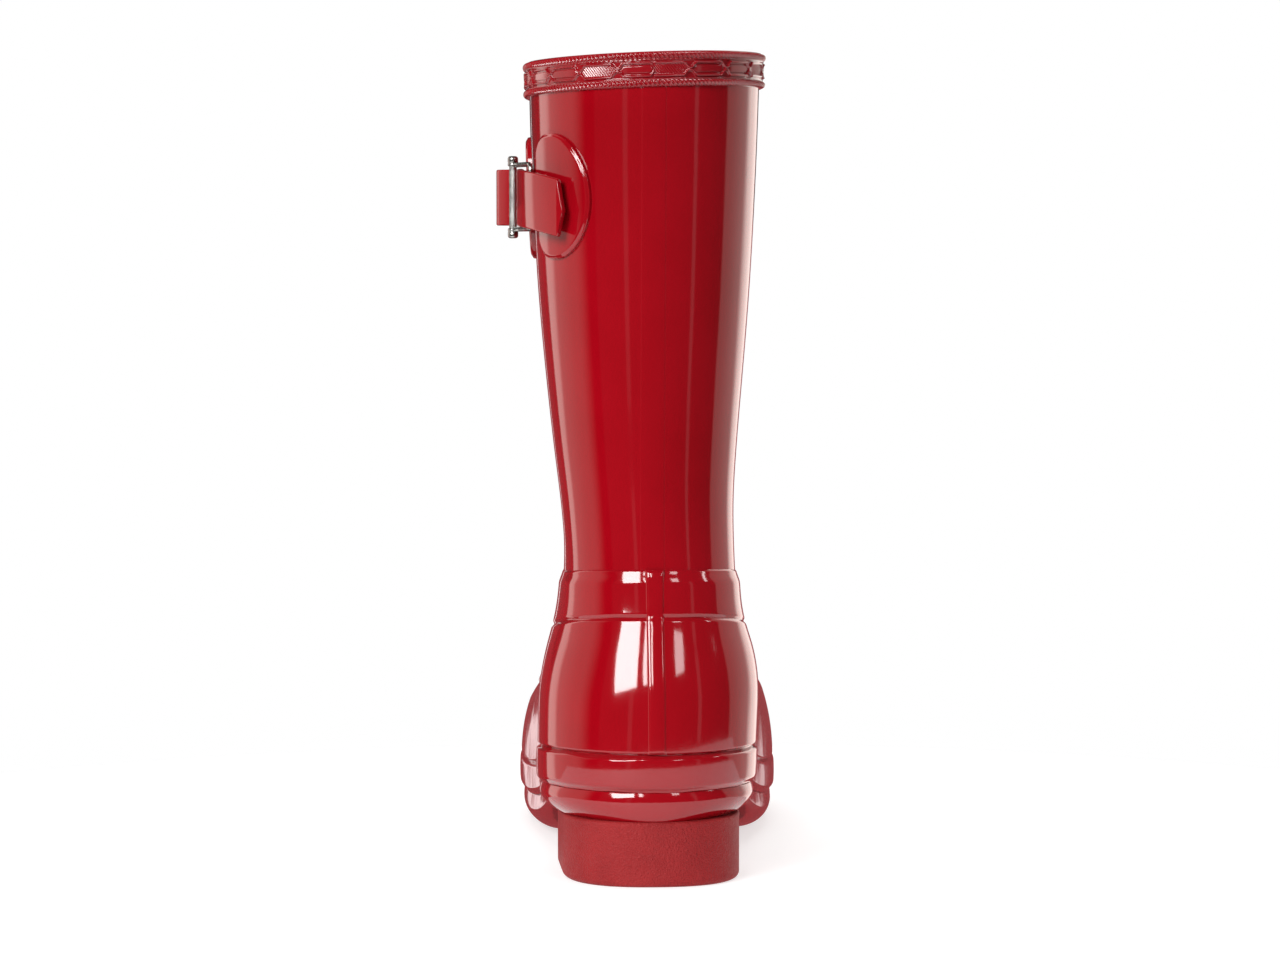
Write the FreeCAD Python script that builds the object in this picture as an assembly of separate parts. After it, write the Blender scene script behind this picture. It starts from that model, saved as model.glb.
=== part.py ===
import FreeCAD, Part
import math
import os

# A short rubber rain boot for the left foot, in millimetres.
# While it is being modelled, x = 0 is the middle of the heel, y = 0 is the back of the heel and
# z = 0 is the ground. +Y points to the toe, +X to the inner side, -X to the outer, buckled side.
# export() moves every piece so that the origin is the middle of the boot's box on the ground.

V = FreeCAD.Vector

# Driving dimensions -------------------------------------------------------------------------
BOX_MIDDLE_X = 3.8
BOX_MIDDLE_Y = 140.4

RIM_HEIGHT = 295.4
RIM_TILT = 0.032
BAND_HEIGHT = 12.4
BOOT_LENGTH = 281.5

RUBBER = 2.4
LINING = 1.2
OVERLAY = 1.5
BAND_THICKNESS = 2.2
STIFFENER = 1.1
LEG_STAY = 0.6
LEG_STAY_HALF = 5.2
LEG_STAY_TOP = 282.0
HEEL_STAY = 0.7
HEEL_STAY_HALF = 3.2
FOXING = 2.0
PATCH = 2.0

HEEL_BLOCK_HEIGHT = 23.4
HEEL_BLOCK_HALF = 32.1
HEEL_BLOCK_REAR = 2.0
HEEL_BLOCK_MIDDLE = 0.0
HEEL_BLOCK_REACH = 34.0
HEEL_BLOCK_SHOULDER = (0.74, 8.6)
HEEL_BLOCK_TAPER = 1.2
HEEL_BLOCK_EDGE = 2.0
HEEL_BLOCK_LENGTH = 76.0
SOLE_EDGE = 0.8
SOLE_FILL = 1.5
BOARD = 2.0
FOOTBED = 4.5
LOOSE_FIT = 0.1
FOOTBED_GAP = 0.3

# The leg, as stations up its height: half width, back line and front line
LEG_HALF_AT = [(-20, 38.0), (34, 38.0), (46, 38.2), (58, 38.4), (68, 38.0), (76, 36.4), (83, 34.5),
               (90, 32.1), (97, 30.5), (104, 29.9), (118, 30.0), (135, 31.2), (150, 32.6),
               (179, 35.4), (208, 37.9), (240, 39.8), (266, 40.9), (300, 41.8)]
LEG_BACK_AT = [(-20, 2.6), (30, 1.9), (50, 1.5), (70, 3.4), (90, 9.0), (112, 12.6), (135, 12.8),
               (170, 10.6), (220, 7.0), (260, 4.6), (300, 3.0)]
LEG_FRONT_AT = [(-20, 104.0), (60, 104.0), (110, 108.0), (150, 118.0), (190, 127.5), (240, 136.5),
                (300, 142.0)]
LEG_MIDDLE_AT = [(-20, -0.6), (100, 0.0), (140, -0.6), (180, -1.3), (300, -1.3)]
REAR_ROUNDNESS = 1.12
WIDEST_BLEND = 26.0

# The foot, as stations along its length: middle, half width and height of the instep ridge
FOOT_MIDDLE_AT = [(0, -0.6), (50, 0.0), (90, 3.0), (130, 6.6), (170, 9.4), (205, 11.0), (240, 12.4),
                  (290, 14.0)]
FOOT_HALF_AT = [(0, 30.0), (50, 33.5), (90, 36.6), (120, 40.2), (150, 44.6), (180, 48.0),
                (205, 48.6), (235, 46.5), (290, 44.0)]
FOOT_RIDGE_AT = [(0, 140.0), (60, 140.0), (95, 128.0), (120, 113.0), (150, 96.0), (180, 82.0),
                 (210, 72.0), (240, 65.5), (290, 59.0)]
TOE_START = 214.0
FOOT_REAR_START = 60.0
FOOT_REAR_LENGTH = 42.0
PLAN_POWER = 2.3
ARCH_POWER = 2.4
THROAT_BLEND = 38.0
THROAT_HALF = 32.0
SIDE_BLEND = 6.0

# Where the upper meets the sole, and how high the foxing strip stands above that line
SOLE_LINE_AT = [(-12, 34.0), (30, 34.0), (65, 31.5), (115, 20.5), (160, 14.2), (205, 13.8),
                (245, 16.0), (292, 23.0)]
FOXING_TOP_AT = [(-12, 47.5), (30, 47.5), (65, 45.0), (115, 33.5), (160, 26.8), (205, 26.3),
                 (245, 28.5), (292, 35.5)]
WALL_RISE = 8.0

# Strap and buckle, on the outer side
STRAP_HEIGHT = 244.9
STRAP_WIDTH = 20.4
STRAP_THICKNESS = 2.0
BAR_LENGTH = 29.8
BAR_RADIUS = 1.3
CAP_RADIUS = 1.9
CAP_LENGTH = 3.6
WIRE_RADIUS = 0.9
WIRE_PLAY = 0.08
FRAME_HALF = 12.6
TAB_THICKNESS = 1.3
TAB_HALF = 8.0
FRONT_BAR = (-48.5, 58.0)
REAR_BAR = (-42.9, 40.0)
PATCH_HALF_HEIGHT = 22.4

WIDE = 90.0


# Curves and the boot's surface ----------------------------------------------------------------
class Spline:
    """A natural cubic spline through a list of stations, straight beyond its two ends."""

    def __init__(self, stations):
        self.at = [float(a) for a, b in stations]
        self.value = [float(b) for a, b in stations]
        self.bend = self.second_derivatives()

    def second_derivatives(self):
        at, value = self.at, self.value
        last = len(at) - 1
        bend = [0.0] * (last + 1)
        carry = [0.0] * (last + 1)
        for i in range(1, last):
            share = (at[i] - at[i - 1]) / (at[i + 1] - at[i - 1])
            pivot = share * bend[i - 1] + 2.0
            bend[i] = (share - 1.0) / pivot
            rise = (value[i + 1] - value[i]) / (at[i + 1] - at[i])
            rise -= (value[i] - value[i - 1]) / (at[i] - at[i - 1])
            carry[i] = (6.0 * rise / (at[i + 1] - at[i - 1]) - share * carry[i - 1]) / pivot
        for i in range(last - 1, -1, -1):
            bend[i] = bend[i] * bend[i + 1] + carry[i]
        bend[0] = 0.0
        return bend

    def __call__(self, t):
        at = self.at
        t = min(max(t, at[0]), at[-1])
        i = 0
        while i < len(at) - 2 and t > at[i + 1]:
            i += 1
        step = at[i + 1] - at[i]
        a = (at[i + 1] - t) / step
        b = 1.0 - a
        line = a * self.value[i] + b * self.value[i + 1]
        curve = (a ** 3 - a) * self.bend[i] + (b ** 3 - b) * self.bend[i + 1]
        return line + curve * step * step / 6.0


leg_half = Spline(LEG_HALF_AT)
leg_back = Spline(LEG_BACK_AT)
leg_front = Spline(LEG_FRONT_AT)
leg_middle = Spline(LEG_MIDDLE_AT)
foot_middle = Spline(FOOT_MIDDLE_AT)
foot_half = Spline(FOOT_HALF_AT)
foot_ridge = Spline(FOOT_RIDGE_AT)
sole_line = Spline(SOLE_LINE_AT)
foxing_top = Spline(FOXING_TOP_AT)


def smooth_step(low, high, t):
    s = min(max((t - low) / (high - low), 0.0), 1.0)
    return s * s * s * (s * (6.0 * s - 15.0) + 10.0)


def leg_field(x, y, z):
    """Below zero inside the leg and the heel, in about millimetres."""
    half = leg_half(z)
    rear = REAR_ROUNDNESS * half
    widest = leg_back(z) + rear
    front = leg_front(z) - widest
    reach = rear + (front - rear) * smooth_step(widest - WIDEST_BLEND, widest + WIDEST_BLEND, y)
    return half * (math.hypot((x - leg_middle(z)) / half, (y - widest) / reach) - 1.0)


def foot_field(x, y, z):
    """Below zero inside the foot, from the waist to the toe."""
    half = foot_half(y)
    across = abs(x - foot_middle(y)) / half
    ahead = max(0.0, y - TOE_START) / (BOOT_LENGTH - FOXING - TOE_START)
    behind = max(0.0, FOOT_REAR_START - y) / FOOT_REAR_LENGTH
    plan = across ** PLAN_POWER + ahead ** PLAN_POWER + behind ** PLAN_POWER
    wall = sole_line(y) + WALL_RISE
    rise = max(0.0, z - wall) / (foot_ridge(y) - wall)
    return half * ((plan ** (ARCH_POWER / PLAN_POWER) + rise ** ARCH_POWER) ** (1 / ARCH_POWER) - 1.0)


def boot_field(x, y, z):
    """The leg and the foot, melted together with a soft throat in front of the ankle."""
    leg = leg_field(x, y, z)
    foot = foot_field(x, y, z)
    aside = smooth_step(0.3, 1.0, abs(x - foot_middle(y)) / THROAT_HALF)
    reach = SIDE_BLEND + (THROAT_BLEND - SIDE_BLEND) * smooth_step(72.0, 112.0, y) * (1.0 - aside)
    near = max(0.0, reach - abs(leg - foot)) / reach
    return min(leg, foot) - near * near * reach / 4.0


def slope(x, y, z):
    d = 0.05
    gx = boot_field(x + d, y, z) - boot_field(x - d, y, z)
    gy = boot_field(x, y + d, z) - boot_field(x, y - d, z)
    gz = boot_field(x, y, z + d) - boot_field(x, y, z - d)
    return V(gx, gy, gz) * (0.5 / d)


def centre_x(y, z):
    share = smooth_step(70.0, 120.0, z)
    return foot_middle(y) * (1.0 - share) + leg_middle(z) * share


def edge_along(origin, direction, farthest):
    """The distance from origin, inside the boot, to its surface along direction."""
    low, high = 0.0, farthest
    for _ in range(22):
        middle = 0.5 * (low + high)
        p = origin + direction * middle
        if boot_field(p.x, p.y, p.z) < 0:
            low = middle
        else:
            high = middle
    return 0.5 * (low + high)


def front_of(z):
    low, high = 60.0, 300.0
    for _ in range(26):
        y = 0.5 * (low + high)
        if boot_field(centre_x(y, z), y, z) < 0:
            low = y
        else:
            high = y
    return low


CAP_STEPS = 8
SIDE_STEPS = 14
REAR_FOCUS = 36.0
FRONT_FOCUS = 38.0


def ring_rays(z):
    """Rays that leave a level section like the spokes of a stadium, back centre first."""
    rear = leg_back(z) + REAR_FOCUS
    front = max(front_of(z) - FRONT_FOCUS, rear + 14.0)
    rays = []
    quarter = 0.5 * math.pi
    for i in range(CAP_STEPS):
        angle = quarter * i / CAP_STEPS
        rays.append((rear, V(-math.sin(angle), -math.cos(angle), 0)))
    for i in range(SIDE_STEPS):
        rays.append((rear + (front - rear) * i / SIDE_STEPS, V(-1, 0, 0)))
    for i in range(2 * CAP_STEPS):
        angle = quarter * i / CAP_STEPS
        rays.append((front, V(-math.cos(angle), math.sin(angle), 0)))
    for i in range(SIDE_STEPS):
        rays.append((front + (rear - front) * i / SIDE_STEPS, V(1, 0, 0)))
    for i in range(CAP_STEPS):
        angle = quarter * i / CAP_STEPS
        rays.append((rear, V(math.cos(angle), -math.sin(angle), 0)))
    return [(V(centre_x(y, z), y, z), direction) for y, direction in rays]


def ring_hits(z):
    hits = []
    for origin, direction in ring_rays(z):
        t = edge_along(origin, direction, 130.0)
        hits.append((origin, direction, t))
    return hits


def at_level(hit, level):
    """The point on a ray where the distance out from the boot's surface is level."""
    origin, direction, t = hit
    for _ in range(3):
        p = origin + direction * t
        g = slope(p.x, p.y, p.z)
        away = boot_field(p.x, p.y, p.z) / g.Length
        t += (level - away) * g.Length / g.dot(direction)
    return origin + direction * t


def levels_up():
    """Heights of the level sections: close together over the toe and instep."""
    heights = []
    z = -8.0
    while z < 320.0:
        heights.append(z)
        gap = 3.0 + 9.0 * smooth_step(110.0, 170.0, z) + 4.0 * (1.0 - smooth_step(0.0, 24.0, z))
        z += gap
    return heights


RING_HITS = [ring_hits(z) for z in levels_up()]


def poles_through(rows):
    """Poles of a cubic surface that passes very nearly through a grid closed one way."""
    count = len(rows[0])
    poles = []
    for i, row in enumerate(rows):
        line = []
        for j, p in enumerate(row):
            bend = row[j - 1] + row[(j + 1) % count] - p * 2.0
            if 0 < i < len(rows) - 1:
                bend = bend + rows[i - 1][j] + rows[i + 1][j] - p * 2.0
            line.append(p - bend * (1.0 / 6.0))
        poles.append(line)
    return poles


def level_solid(level):
    """The whole boot as a plug whose side lies at level outside the rubber's outer face."""
    rows = [[at_level(hit, level) for hit in ring] for ring in RING_HITS]
    poles = poles_through(rows)
    rings = len(poles)
    spokes = len(poles[0])
    surface = Part.BSplineSurface()
    knots_up = list(range(rings - 2))
    times_up = [4] + [1] * (rings - 4) + [4]
    knots_round = list(range(spokes + 1))
    times_round = [1] * (spokes + 1)
    surface.buildFromPolesMultsKnots(poles, times_up, times_round, knots_up, knots_round,
                                     False, True, 3, 3)
    side = surface.toShape()
    caps = []
    for edge in side.Edges:
        if edge.isClosed() and edge.BoundBox.ZLength < 0.01:
            caps.append(Part.Face(Part.Wire([edge])))
    shell = Part.makeShell([side] + caps)
    shell.sewShape()
    solid = Part.makeSolid(shell)
    if solid.Volume < 0:
        solid.reverse()
    return solid


# Cutting shapes -------------------------------------------------------------------------------
def curve_edge(points):
    curve = Part.BSplineCurve()
    curve.interpolate(points)
    return curve.toShape()


def side_prism(lower, upper, low_x=-WIDE, high_x=WIDE):
    """A slab between two lines seen from the side, each a list of (y, z) from back to front."""
    low = [V(low_x, y, z) for y, z in lower]
    high = [V(low_x, y, z) for y, z in upper]
    edges = [curve_edge(low), Part.makeLine(low[-1], high[-1]), curve_edge(high[::-1]),
             Part.makeLine(high[0], low[0])]
    return Part.Face(Part.Wire(edges)).extrude(V(high_x - low_x, 0, 0))


def polygon_prism(points, direction):
    return Part.Face(Part.makePolygon(points + [points[0]])).extrude(direction)


def line_of(height, start=-12.0, end=292.0, steps=16, lift=0.0):
    """A spline of height over y as points for side_prism."""
    return [(start + (end - start) * i / steps, height(start + (end - start) * i / steps) + lift)
            for i in range(steps + 1)]


def rim_prism(below_top, above_bottom):
    """The slab parallel to the tilted rim, from above_bottom to below_top under it."""
    def corner(x, drop):
        return V(x, -20, RIM_HEIGHT + RIM_TILT * x - drop)
    points = [corner(-WIDE, below_top), corner(WIDE, below_top), corner(WIDE, above_bottom),
              corner(-WIDE, above_bottom)]
    return polygon_prism(points, V(0, 200, 0))


def keep_largest(shape):
    solids = sorted(shape.Solids, key=lambda s: s.Volume)
    return solids[-1]


def export(shape, node):
    moved = shape.copy()
    moved.translate(V(-BOX_MIDDLE_X, -BOX_MIDDLE_Y, 0))
    moved.exportStep("parts/" + node + ".step")
    box = moved.BoundBox
    print("%-18s solids %d valid %s volume %9.1f  x %.1f %.1f  y %.1f %.1f  z %.1f %.1f" % (
        node, len(moved.Solids), moved.isValid(), moved.Volume, box.XMin, box.XMax, box.YMin,
        box.YMax, box.ZMin, box.ZMax))


# The plugs that the skins of the boot are cut from, inside to outside -----------------------------
lining_plug = level_solid(-RUBBER - LINING)
rubber_plug = level_solid(-RUBBER)
pocket_plug = level_solid(-RUBBER + STIFFENER)
upper_plug = level_solid(0.0)
overlay_plug = level_solid(OVERLAY)
foxing_plug = level_solid(FOXING)

# Lines seen from the side, as (y, z) from back to front
COLLAR_TOP = [(-20, 112.9), (12, 112.6), (48, 109.9), (78, 110.5), (100, 117.0), (122, 130.0)]
COLLAR_LOW = [(-20, 95.8), (12, 95.2), (48, 90.2), (80, 89.0), (108, 97.5), (150, 118.0)]
LEG_SEAM = [(-20, 104.0), (12, 103.8), (48, 100.0), (78, 99.5), (104, 107.0), (150, 130.0), (290, 190.0)]
VAMP_SEAM_Y = 124.0
COUNTER_ROOF = [(-20, 95.6), (12, 95.0), (48, 90.0), (66, 86.0), (80, 76.0), (90, 60.0), (96, 40.0)]
TOE_CAP_LOW_Y = 226.0
TOE_CAP_TOP_Y = 218.0
SADDLE_LOW = [(122, 88.0), (150, 66.0), (205, 50.0)]
SADDLE_TOP = [(150, 117.6), (170, 121.0), (205, 121.0)]
PANEL_LOW = [(102.5, 20.0), (150, 20.0), (214, 20.0)]
PANEL_TOP = [(88, 76.0), (112, 71.0), (150, 60.0), (205, 46.0)]


def foot_region(lift_low=0.0):
    """Everything below the leg seam and above the sole line."""
    return side_prism(line_of(sole_line, -20, lift=lift_low), LEG_SEAM)


def leg_region(top_drop):
    ceiling = rim_prism(top_drop, 240.0)
    floor = side_prism(LEG_SEAM, [(-20, 320.0), (290, 320.0)])
    return floor.common(ceiling)


def behind_seam(shape):
    """The part of a shape behind the seam between quarter and vamp."""
    return shape.common(Part.makeBox(2 * WIDE, VAMP_SEAM_Y + 40, 200, V(-WIDE, -40, -20)))


def ahead_of_seam(shape):
    return shape.common(Part.makeBox(2 * WIDE, 200, 200, V(-WIDE, VAMP_SEAM_Y, -20)))


def skin(outer, inner, region):
    """The layer between two plugs, inside a region."""
    return keep_largest(outer.common(region).cut(inner))


# Sub-parts of the boot ------------------------------------------------------------------------
def make_leg():
    export(skin(upper_plug, rubber_plug, leg_region(0.0)), "leg_upper")
    export(skin(rubber_plug, lining_plug, leg_region(1.5)), "leg_lining")
    band = skin(level_solid(BAND_THICKNESS), upper_plug, rim_prism(0.0, BAND_HEIGHT))
    export(band, "top_band")
    low = [(-20, 113.4), (30, 113.0)]
    high = [(-20, LEG_STAY_TOP), (30, LEG_STAY_TOP)]
    strip = side_prism(low, high, -LEG_STAY_HALF, LEG_STAY_HALF)
    export(skin(level_solid(LEG_STAY), upper_plug, strip), "leg_stay")


def make_foot_skins():
    foot = foot_region()
    wall = upper_plug.common(foot).cut(rubber_plug)
    pocket = rubber_pocket()
    heel_zone = side_prism([(-20, 40.0), (60, 38.0)], [(-20, 86.0), (60, 74.0)])
    toe_zone = side_prism([(236, 21.0), (300, 26.0)], [(236, 90.0), (300, 90.0)])
    stiffener = keep_largest(pocket.common(heel_zone))
    puff = keep_largest(pocket.common(toe_zone))
    export(stiffener, "heel_stiffener")
    export(puff, "toe_puff")
    export(keep_largest(behind_seam(wall).cut(stiffener)), "quarter")
    export(keep_largest(ahead_of_seam(wall).cut(puff)), "vamp")
    sock = foot_region(SOLE_FILL + BOARD)
    export(skin(rubber_plug, lining_plug, sock), "foot_lining")


def rubber_pocket():
    """The layer just inside the rubber wall, where the two stiffeners lie."""
    return pocket_plug.common(foot_region(4.0)).cut(rubber_plug)


def overlay_layer():
    return overlay_plug.common(side_prism(line_of(foxing_top, -20), [(-20, 320), (292, 320)]))


def make_overlays():
    overlay = overlay_layer().cut(upper_plug)
    collar = overlay.common(side_prism(COLLAR_LOW, COLLAR_TOP))
    export(keep_largest(collar), "ankle_collar")
    counter = overlay.common(side_prism([(-20, 20.0), (96, 20.0)], COUNTER_ROOF))
    export(keep_largest(counter), "heel_counter")
    toe = side_prism([(TOE_CAP_LOW_Y, 10.0), (300, 10.0)], [(TOE_CAP_TOP_Y, 100.0), (300, 100.0)])
    export(keep_largest(overlay.common(toe)), "toe_cap")
    saddle = side_prism(SADDLE_LOW, SADDLE_TOP)
    export(keep_largest(overlay.common(saddle)), "instep_saddle")
    panel = overlay.common(side_prism(PANEL_LOW, PANEL_TOP))
    sides = sorted(panel.Solids, key=lambda s: s.CenterOfMass.x)
    export(sides[0], "outer_side_panel")
    export(sides[-1], "inner_side_panel")


def make_heel_stay():
    outer = level_solid(OVERLAY + HEEL_STAY)
    strip = side_prism([(-20, 47.6), (30, 47.6)], [(-20, 112.4), (30, 110.9)],
                       -HEEL_STAY_HALF, HEEL_STAY_HALF)
    export(skin(outer, overlay_plug, strip), "back_stay")


def plan_prism(level, low, high):
    """An upright prism on the foot's outline at the foxing strip, level outside the upper."""
    hits = ring_hits(30.0)
    points = [at_level(hit, level) for hit in hits]
    curve = Part.BSplineCurve()
    curve.interpolate([V(p.x, p.y, low) for p in points], True)
    return Part.Face(Part.Wire([curve.toShape()])).extrude(V(0, 0, high - low))


def make_sole():
    band = side_prism(line_of(sole_line, -20), line_of(foxing_top, -20))
    export(keep_largest(foxing_plug.common(band).cut(upper_plug)), "foxing_strip")
    filler = side_prism(line_of(sole_line, -20), line_of(sole_line, -20, lift=SOLE_FILL))
    board_low = line_of(sole_line, -20, lift=SOLE_FILL)
    board_top = line_of(sole_line, -20, lift=SOLE_FILL + BOARD)
    board = side_prism(board_low, board_top)
    inside = level_solid(-RUBBER - LOOSE_FIT)
    export(keep_largest(inside.common(filler)), "bottom_filler")
    export(keep_largest(inside.common(board)), "insole_board")
    rest = SOLE_FILL + BOARD + LOOSE_FIT
    pad = side_prism(line_of(sole_line, -20, lift=rest), line_of(sole_line, -20, lift=rest + FOOTBED))
    export(keep_largest(level_solid(-RUBBER - LINING - FOOTBED_GAP).common(pad)), "footbed")


WAIST_LINE = [(78.2, 23.4), (88, 18.0), (104, 11.6), (130, 4.4), (150, 1.2), (170, 0.0)]
TOE_SPRING_LINE = [(216, 0.0), (236, 1.0), (256, 3.8), (276, 8.0), (300, 14.0)]


def make_outsole():
    """The sole over heel, waist and ball, flat where it treads and curved up at the toe."""
    waist = [V(-WIDE, y, z) for y, z in WAIST_LINE]
    spring = [V(-WIDE, y, z) for y, z in TOE_SPRING_LINE]
    corners = [V(-WIDE, 300, 60), V(-WIDE, -20, 60), V(-WIDE, -20, HEEL_BLOCK_HEIGHT)]
    edges = [Part.makeLine(corners[2], waist[0]), curve_edge(waist),
             Part.makeLine(waist[-1], spring[0]), curve_edge(spring),
             Part.makeLine(spring[-1], corners[0]), Part.makeLine(corners[0], corners[1]),
             Part.makeLine(corners[1], corners[2])]
    profile = Part.Face(Part.Wire(edges)).extrude(V(2 * WIDE, 0, 0))
    above = side_prism(line_of(sole_line, -20), [(-20, 90.0), (292, 90.0)])
    export(keep_largest(plan_prism(SOLE_EDGE, -5.0, 60.0).common(profile).cut(above)), "outsole")


# Strap and buckle -----------------------------------------------------------------------------
STRAP_LOW = STRAP_HEIGHT - 0.5 * STRAP_WIDTH
STRAP_TOP = STRAP_HEIGHT + 0.5 * STRAP_WIDTH

# The strap's middle line in plan: y of the place on the leg under it, and how far it stands off.
STRAP_FIXED_ROUTE = [(94.0, 3.05), (87.0, 3.1), (80.0, 5.0), (74.0, 10.2), (69.0, 12.6), (65.0, 9.2),
                     (62.0, 5.6), (59.0, 4.4), (55.4, 4.2)]
STRAP_END_ROUTE = [(54.0, 4.2), (50.0, 4.6), (45.5, 5.4), (40.0, 5.9), (33.0, 6.1), (26.0, 6.1),
                   (20.5, 6.0), (17.0, 5.9)]
STRAP_GAP = 0.35
TIP_LENGTH = 6.5
TIP_DROP = 1.5


def outer_side(y, away):
    """A point away from the leg's outer side in plan, at the strap's height."""
    rear = leg_back(STRAP_HEIGHT) + REAR_FOCUS
    origin = V(leg_middle(STRAP_HEIGHT), rear, STRAP_HEIGHT)
    direction = V(-1, 0, 0)
    if y < rear:
        base = wall_x(y)
        direction = V(base - origin.x, y - rear, 0)
        direction.normalize()
    else:
        origin.y = y
    t = edge_along(origin, direction, 90.0)
    foot = origin + direction * t
    g = slope(foot.x, foot.y, foot.z)
    g.z = 0
    g.normalize()
    return foot + g * away


def wall_x(y):
    """x of the leg's outer face at the strap's height."""
    low, high = -60.0, leg_middle(STRAP_HEIGHT)
    for _ in range(24):
        x = 0.5 * (low + high)
        if boot_field(x, y, STRAP_HEIGHT) < 0:
            high = x
        else:
            low = x
    return high


def plan_curve(route):
    """A spline in plan through the points of a route."""
    curve = Part.BSplineCurve()
    curve.interpolate([outer_side(y, away) for y, away in route])
    return curve


def ribbon(curve, thickness, low, high, round_start=False):
    """A strip that stands on edge along a plan curve, from height low to high."""
    steps = 36
    sides = [[], []]
    first, last = curve.FirstParameter, curve.LastParameter
    for i in range(steps + 1):
        t = first + (last - first) * i / steps
        p = curve.value(t)
        along = curve.tangent(t)[0]
        across = V(along.y, -along.x, 0)
        sides[0].append(V(p.x, p.y, low) + across * (0.5 * thickness))
        sides[1].append(V(p.x, p.y, low) - across * (0.5 * thickness))
    start = Part.makeLine(sides[1][0], sides[0][0])
    if round_start:
        p = curve.value(first)
        along = curve.tangent(first)[0]
        nose = V(p.x, p.y, low) - along * (0.5 * thickness)
        start = Part.Arc(sides[1][0], nose, sides[0][0]).toShape()
    edges = [curve_edge(sides[0]), Part.makeLine(sides[0][-1], sides[1][-1]),
             curve_edge(sides[1][::-1]), start]
    return Part.Face(Part.Wire(edges)).extrude(V(0, 0, high - low))


def patch_prism(middle_y, along_half, straight_side):
    """A D-shaped prism through the leg's wall, with its straight side toward the buckle."""
    foot = outer_side(middle_y, 0.0)
    g = slope(foot.x, foot.y, foot.z)
    g.z = 0
    g.normalize()
    sideways = V(-g.y, g.x, 0) * straight_side
    start = foot - g * 12.0
    flat = sideways * along_half
    bow = sideways * -along_half
    high = V(0, 0, PATCH_HALF_HEIGHT)
    top = start + flat * PATCH_CORNER + high
    low = start + flat * PATCH_CORNER - high
    side_top = start + flat + high * PATCH_FLAT_SHARE
    side_low = start + flat - high * PATCH_FLAT_SHARE
    nose = start + bow
    round_top = start + bow * PATCH_ROUND[0] + high * PATCH_ROUND[1]
    round_low = start + bow * PATCH_ROUND[0] - high * PATCH_ROUND[1]
    edges = [Part.makeLine(side_low, side_top), Part.makeLine(side_top, top),
             curve_edge([top, round_top, nose, round_low, low]), Part.makeLine(low, side_low)]
    return Part.Face(Part.Wire(edges)).extrude(g * 24.0)


REAR_PATCH_Y = 21.5
REAR_PATCH_HALF = 14.0
FRONT_PATCH_Y = 76.0
FRONT_PATCH_HALF = 16.5
TAB_ROOT_Y = 29.0
PATCH_CORNER = 0.72
PATCH_FLAT_SHARE = 0.55
PATCH_ROUND = (0.62, 0.76)


def make_rear_patch():
    """The patch, and the tab that leaves its straight side and wraps round the buckle's wire."""
    patch_plug = level_solid(PATCH)
    plate = skin(patch_plug, upper_plug, patch_prism(REAR_PATCH_Y, REAR_PATCH_HALF, -1.0))
    barrel_radius = WIRE_RADIUS + WIRE_PLAY + TAB_THICKNESS
    middle = V(REAR_BAR[0], REAR_BAR[1], STRAP_HEIGHT - TAB_HALF)
    barrel = Part.makeCylinder(barrel_radius, 2 * TAB_HALF, middle)
    root = outer_side(TAB_ROOT_Y, 0.2)
    out = outer_side(TAB_ROOT_Y, PATCH)
    tangent = V(REAR_BAR[0] - out.x, REAR_BAR[1] - out.y, 0)
    tangent.normalize()
    across = V(tangent.y, -tangent.x, 0)
    tip = V(REAR_BAR[0], REAR_BAR[1], 0)
    web = [out, tip + across * (barrel_radius - 0.1), tip - across * (barrel_radius - 0.1), root]
    web = [V(p.x, p.y, STRAP_HEIGHT - TAB_HALF) for p in web]
    tab = polygon_prism(web, V(0, 0, 2 * TAB_HALF))
    hole = Part.makeCylinder(WIRE_RADIUS + WIRE_PLAY, 2 * TAB_HALF + 2, middle - V(0, 0, 1))
    whole = plate.fuse(tab).fuse(barrel).cut(hole).cut(upper_plug)
    export(keep_largest(whole), "rear_patch")


def make_front_patch():
    plate = skin(level_solid(PATCH), upper_plug, patch_prism(FRONT_PATCH_Y, FRONT_PATCH_HALF, 1.0))
    export(plate, "front_patch")


def make_straps():
    fixed = ribbon(plan_curve(STRAP_FIXED_ROUTE), STRAP_THICKNESS, STRAP_LOW, STRAP_TOP)
    fixed = fixed.cut(level_solid(PATCH + 0.02))
    pivot = plan_curve(STRAP_END_ROUTE).value(0.0)
    socket = Part.makeCylinder(0.5 * STRAP_THICKNESS + STRAP_GAP, STRAP_WIDTH + 2,
                               V(pivot.x, pivot.y, STRAP_LOW - 1))
    export(keep_largest(fixed.cut(socket)), "strap")
    free = ribbon(plan_curve(STRAP_END_ROUTE), STRAP_THICKNESS, STRAP_LOW, STRAP_TOP, True)
    export(keep_largest(free.common(tip_prism())), "strap_end")
    print("strap pivot", pivot.x - BOX_MIDDLE_X, pivot.y - BOX_MIDDLE_Y)


def tip_prism():
    """The pointed outline of the strap's free end, seen from the side and a little behind."""
    curve = plan_curve(STRAP_END_ROUTE)
    tip = curve.value(curve.LastParameter)
    along = curve.tangent(curve.LastParameter)[0]
    out = V(-along.y, along.x, 0)
    shoulder = tip - along * TIP_LENGTH
    back = tip - along * 90.0
    base = out * -60.0
    points = [V(back.x, back.y, STRAP_LOW - 1), V(shoulder.x, shoulder.y, STRAP_LOW - 1),
              V(shoulder.x, shoulder.y, STRAP_LOW), V(tip.x, tip.y, STRAP_HEIGHT - TIP_DROP),
              V(shoulder.x, shoulder.y, STRAP_TOP), V(shoulder.x, shoulder.y, STRAP_TOP + 1),
              V(back.x, back.y, STRAP_TOP + 1)]
    points = [p + base for p in points]
    return polygon_prism(points, out * 120.0)


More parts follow.
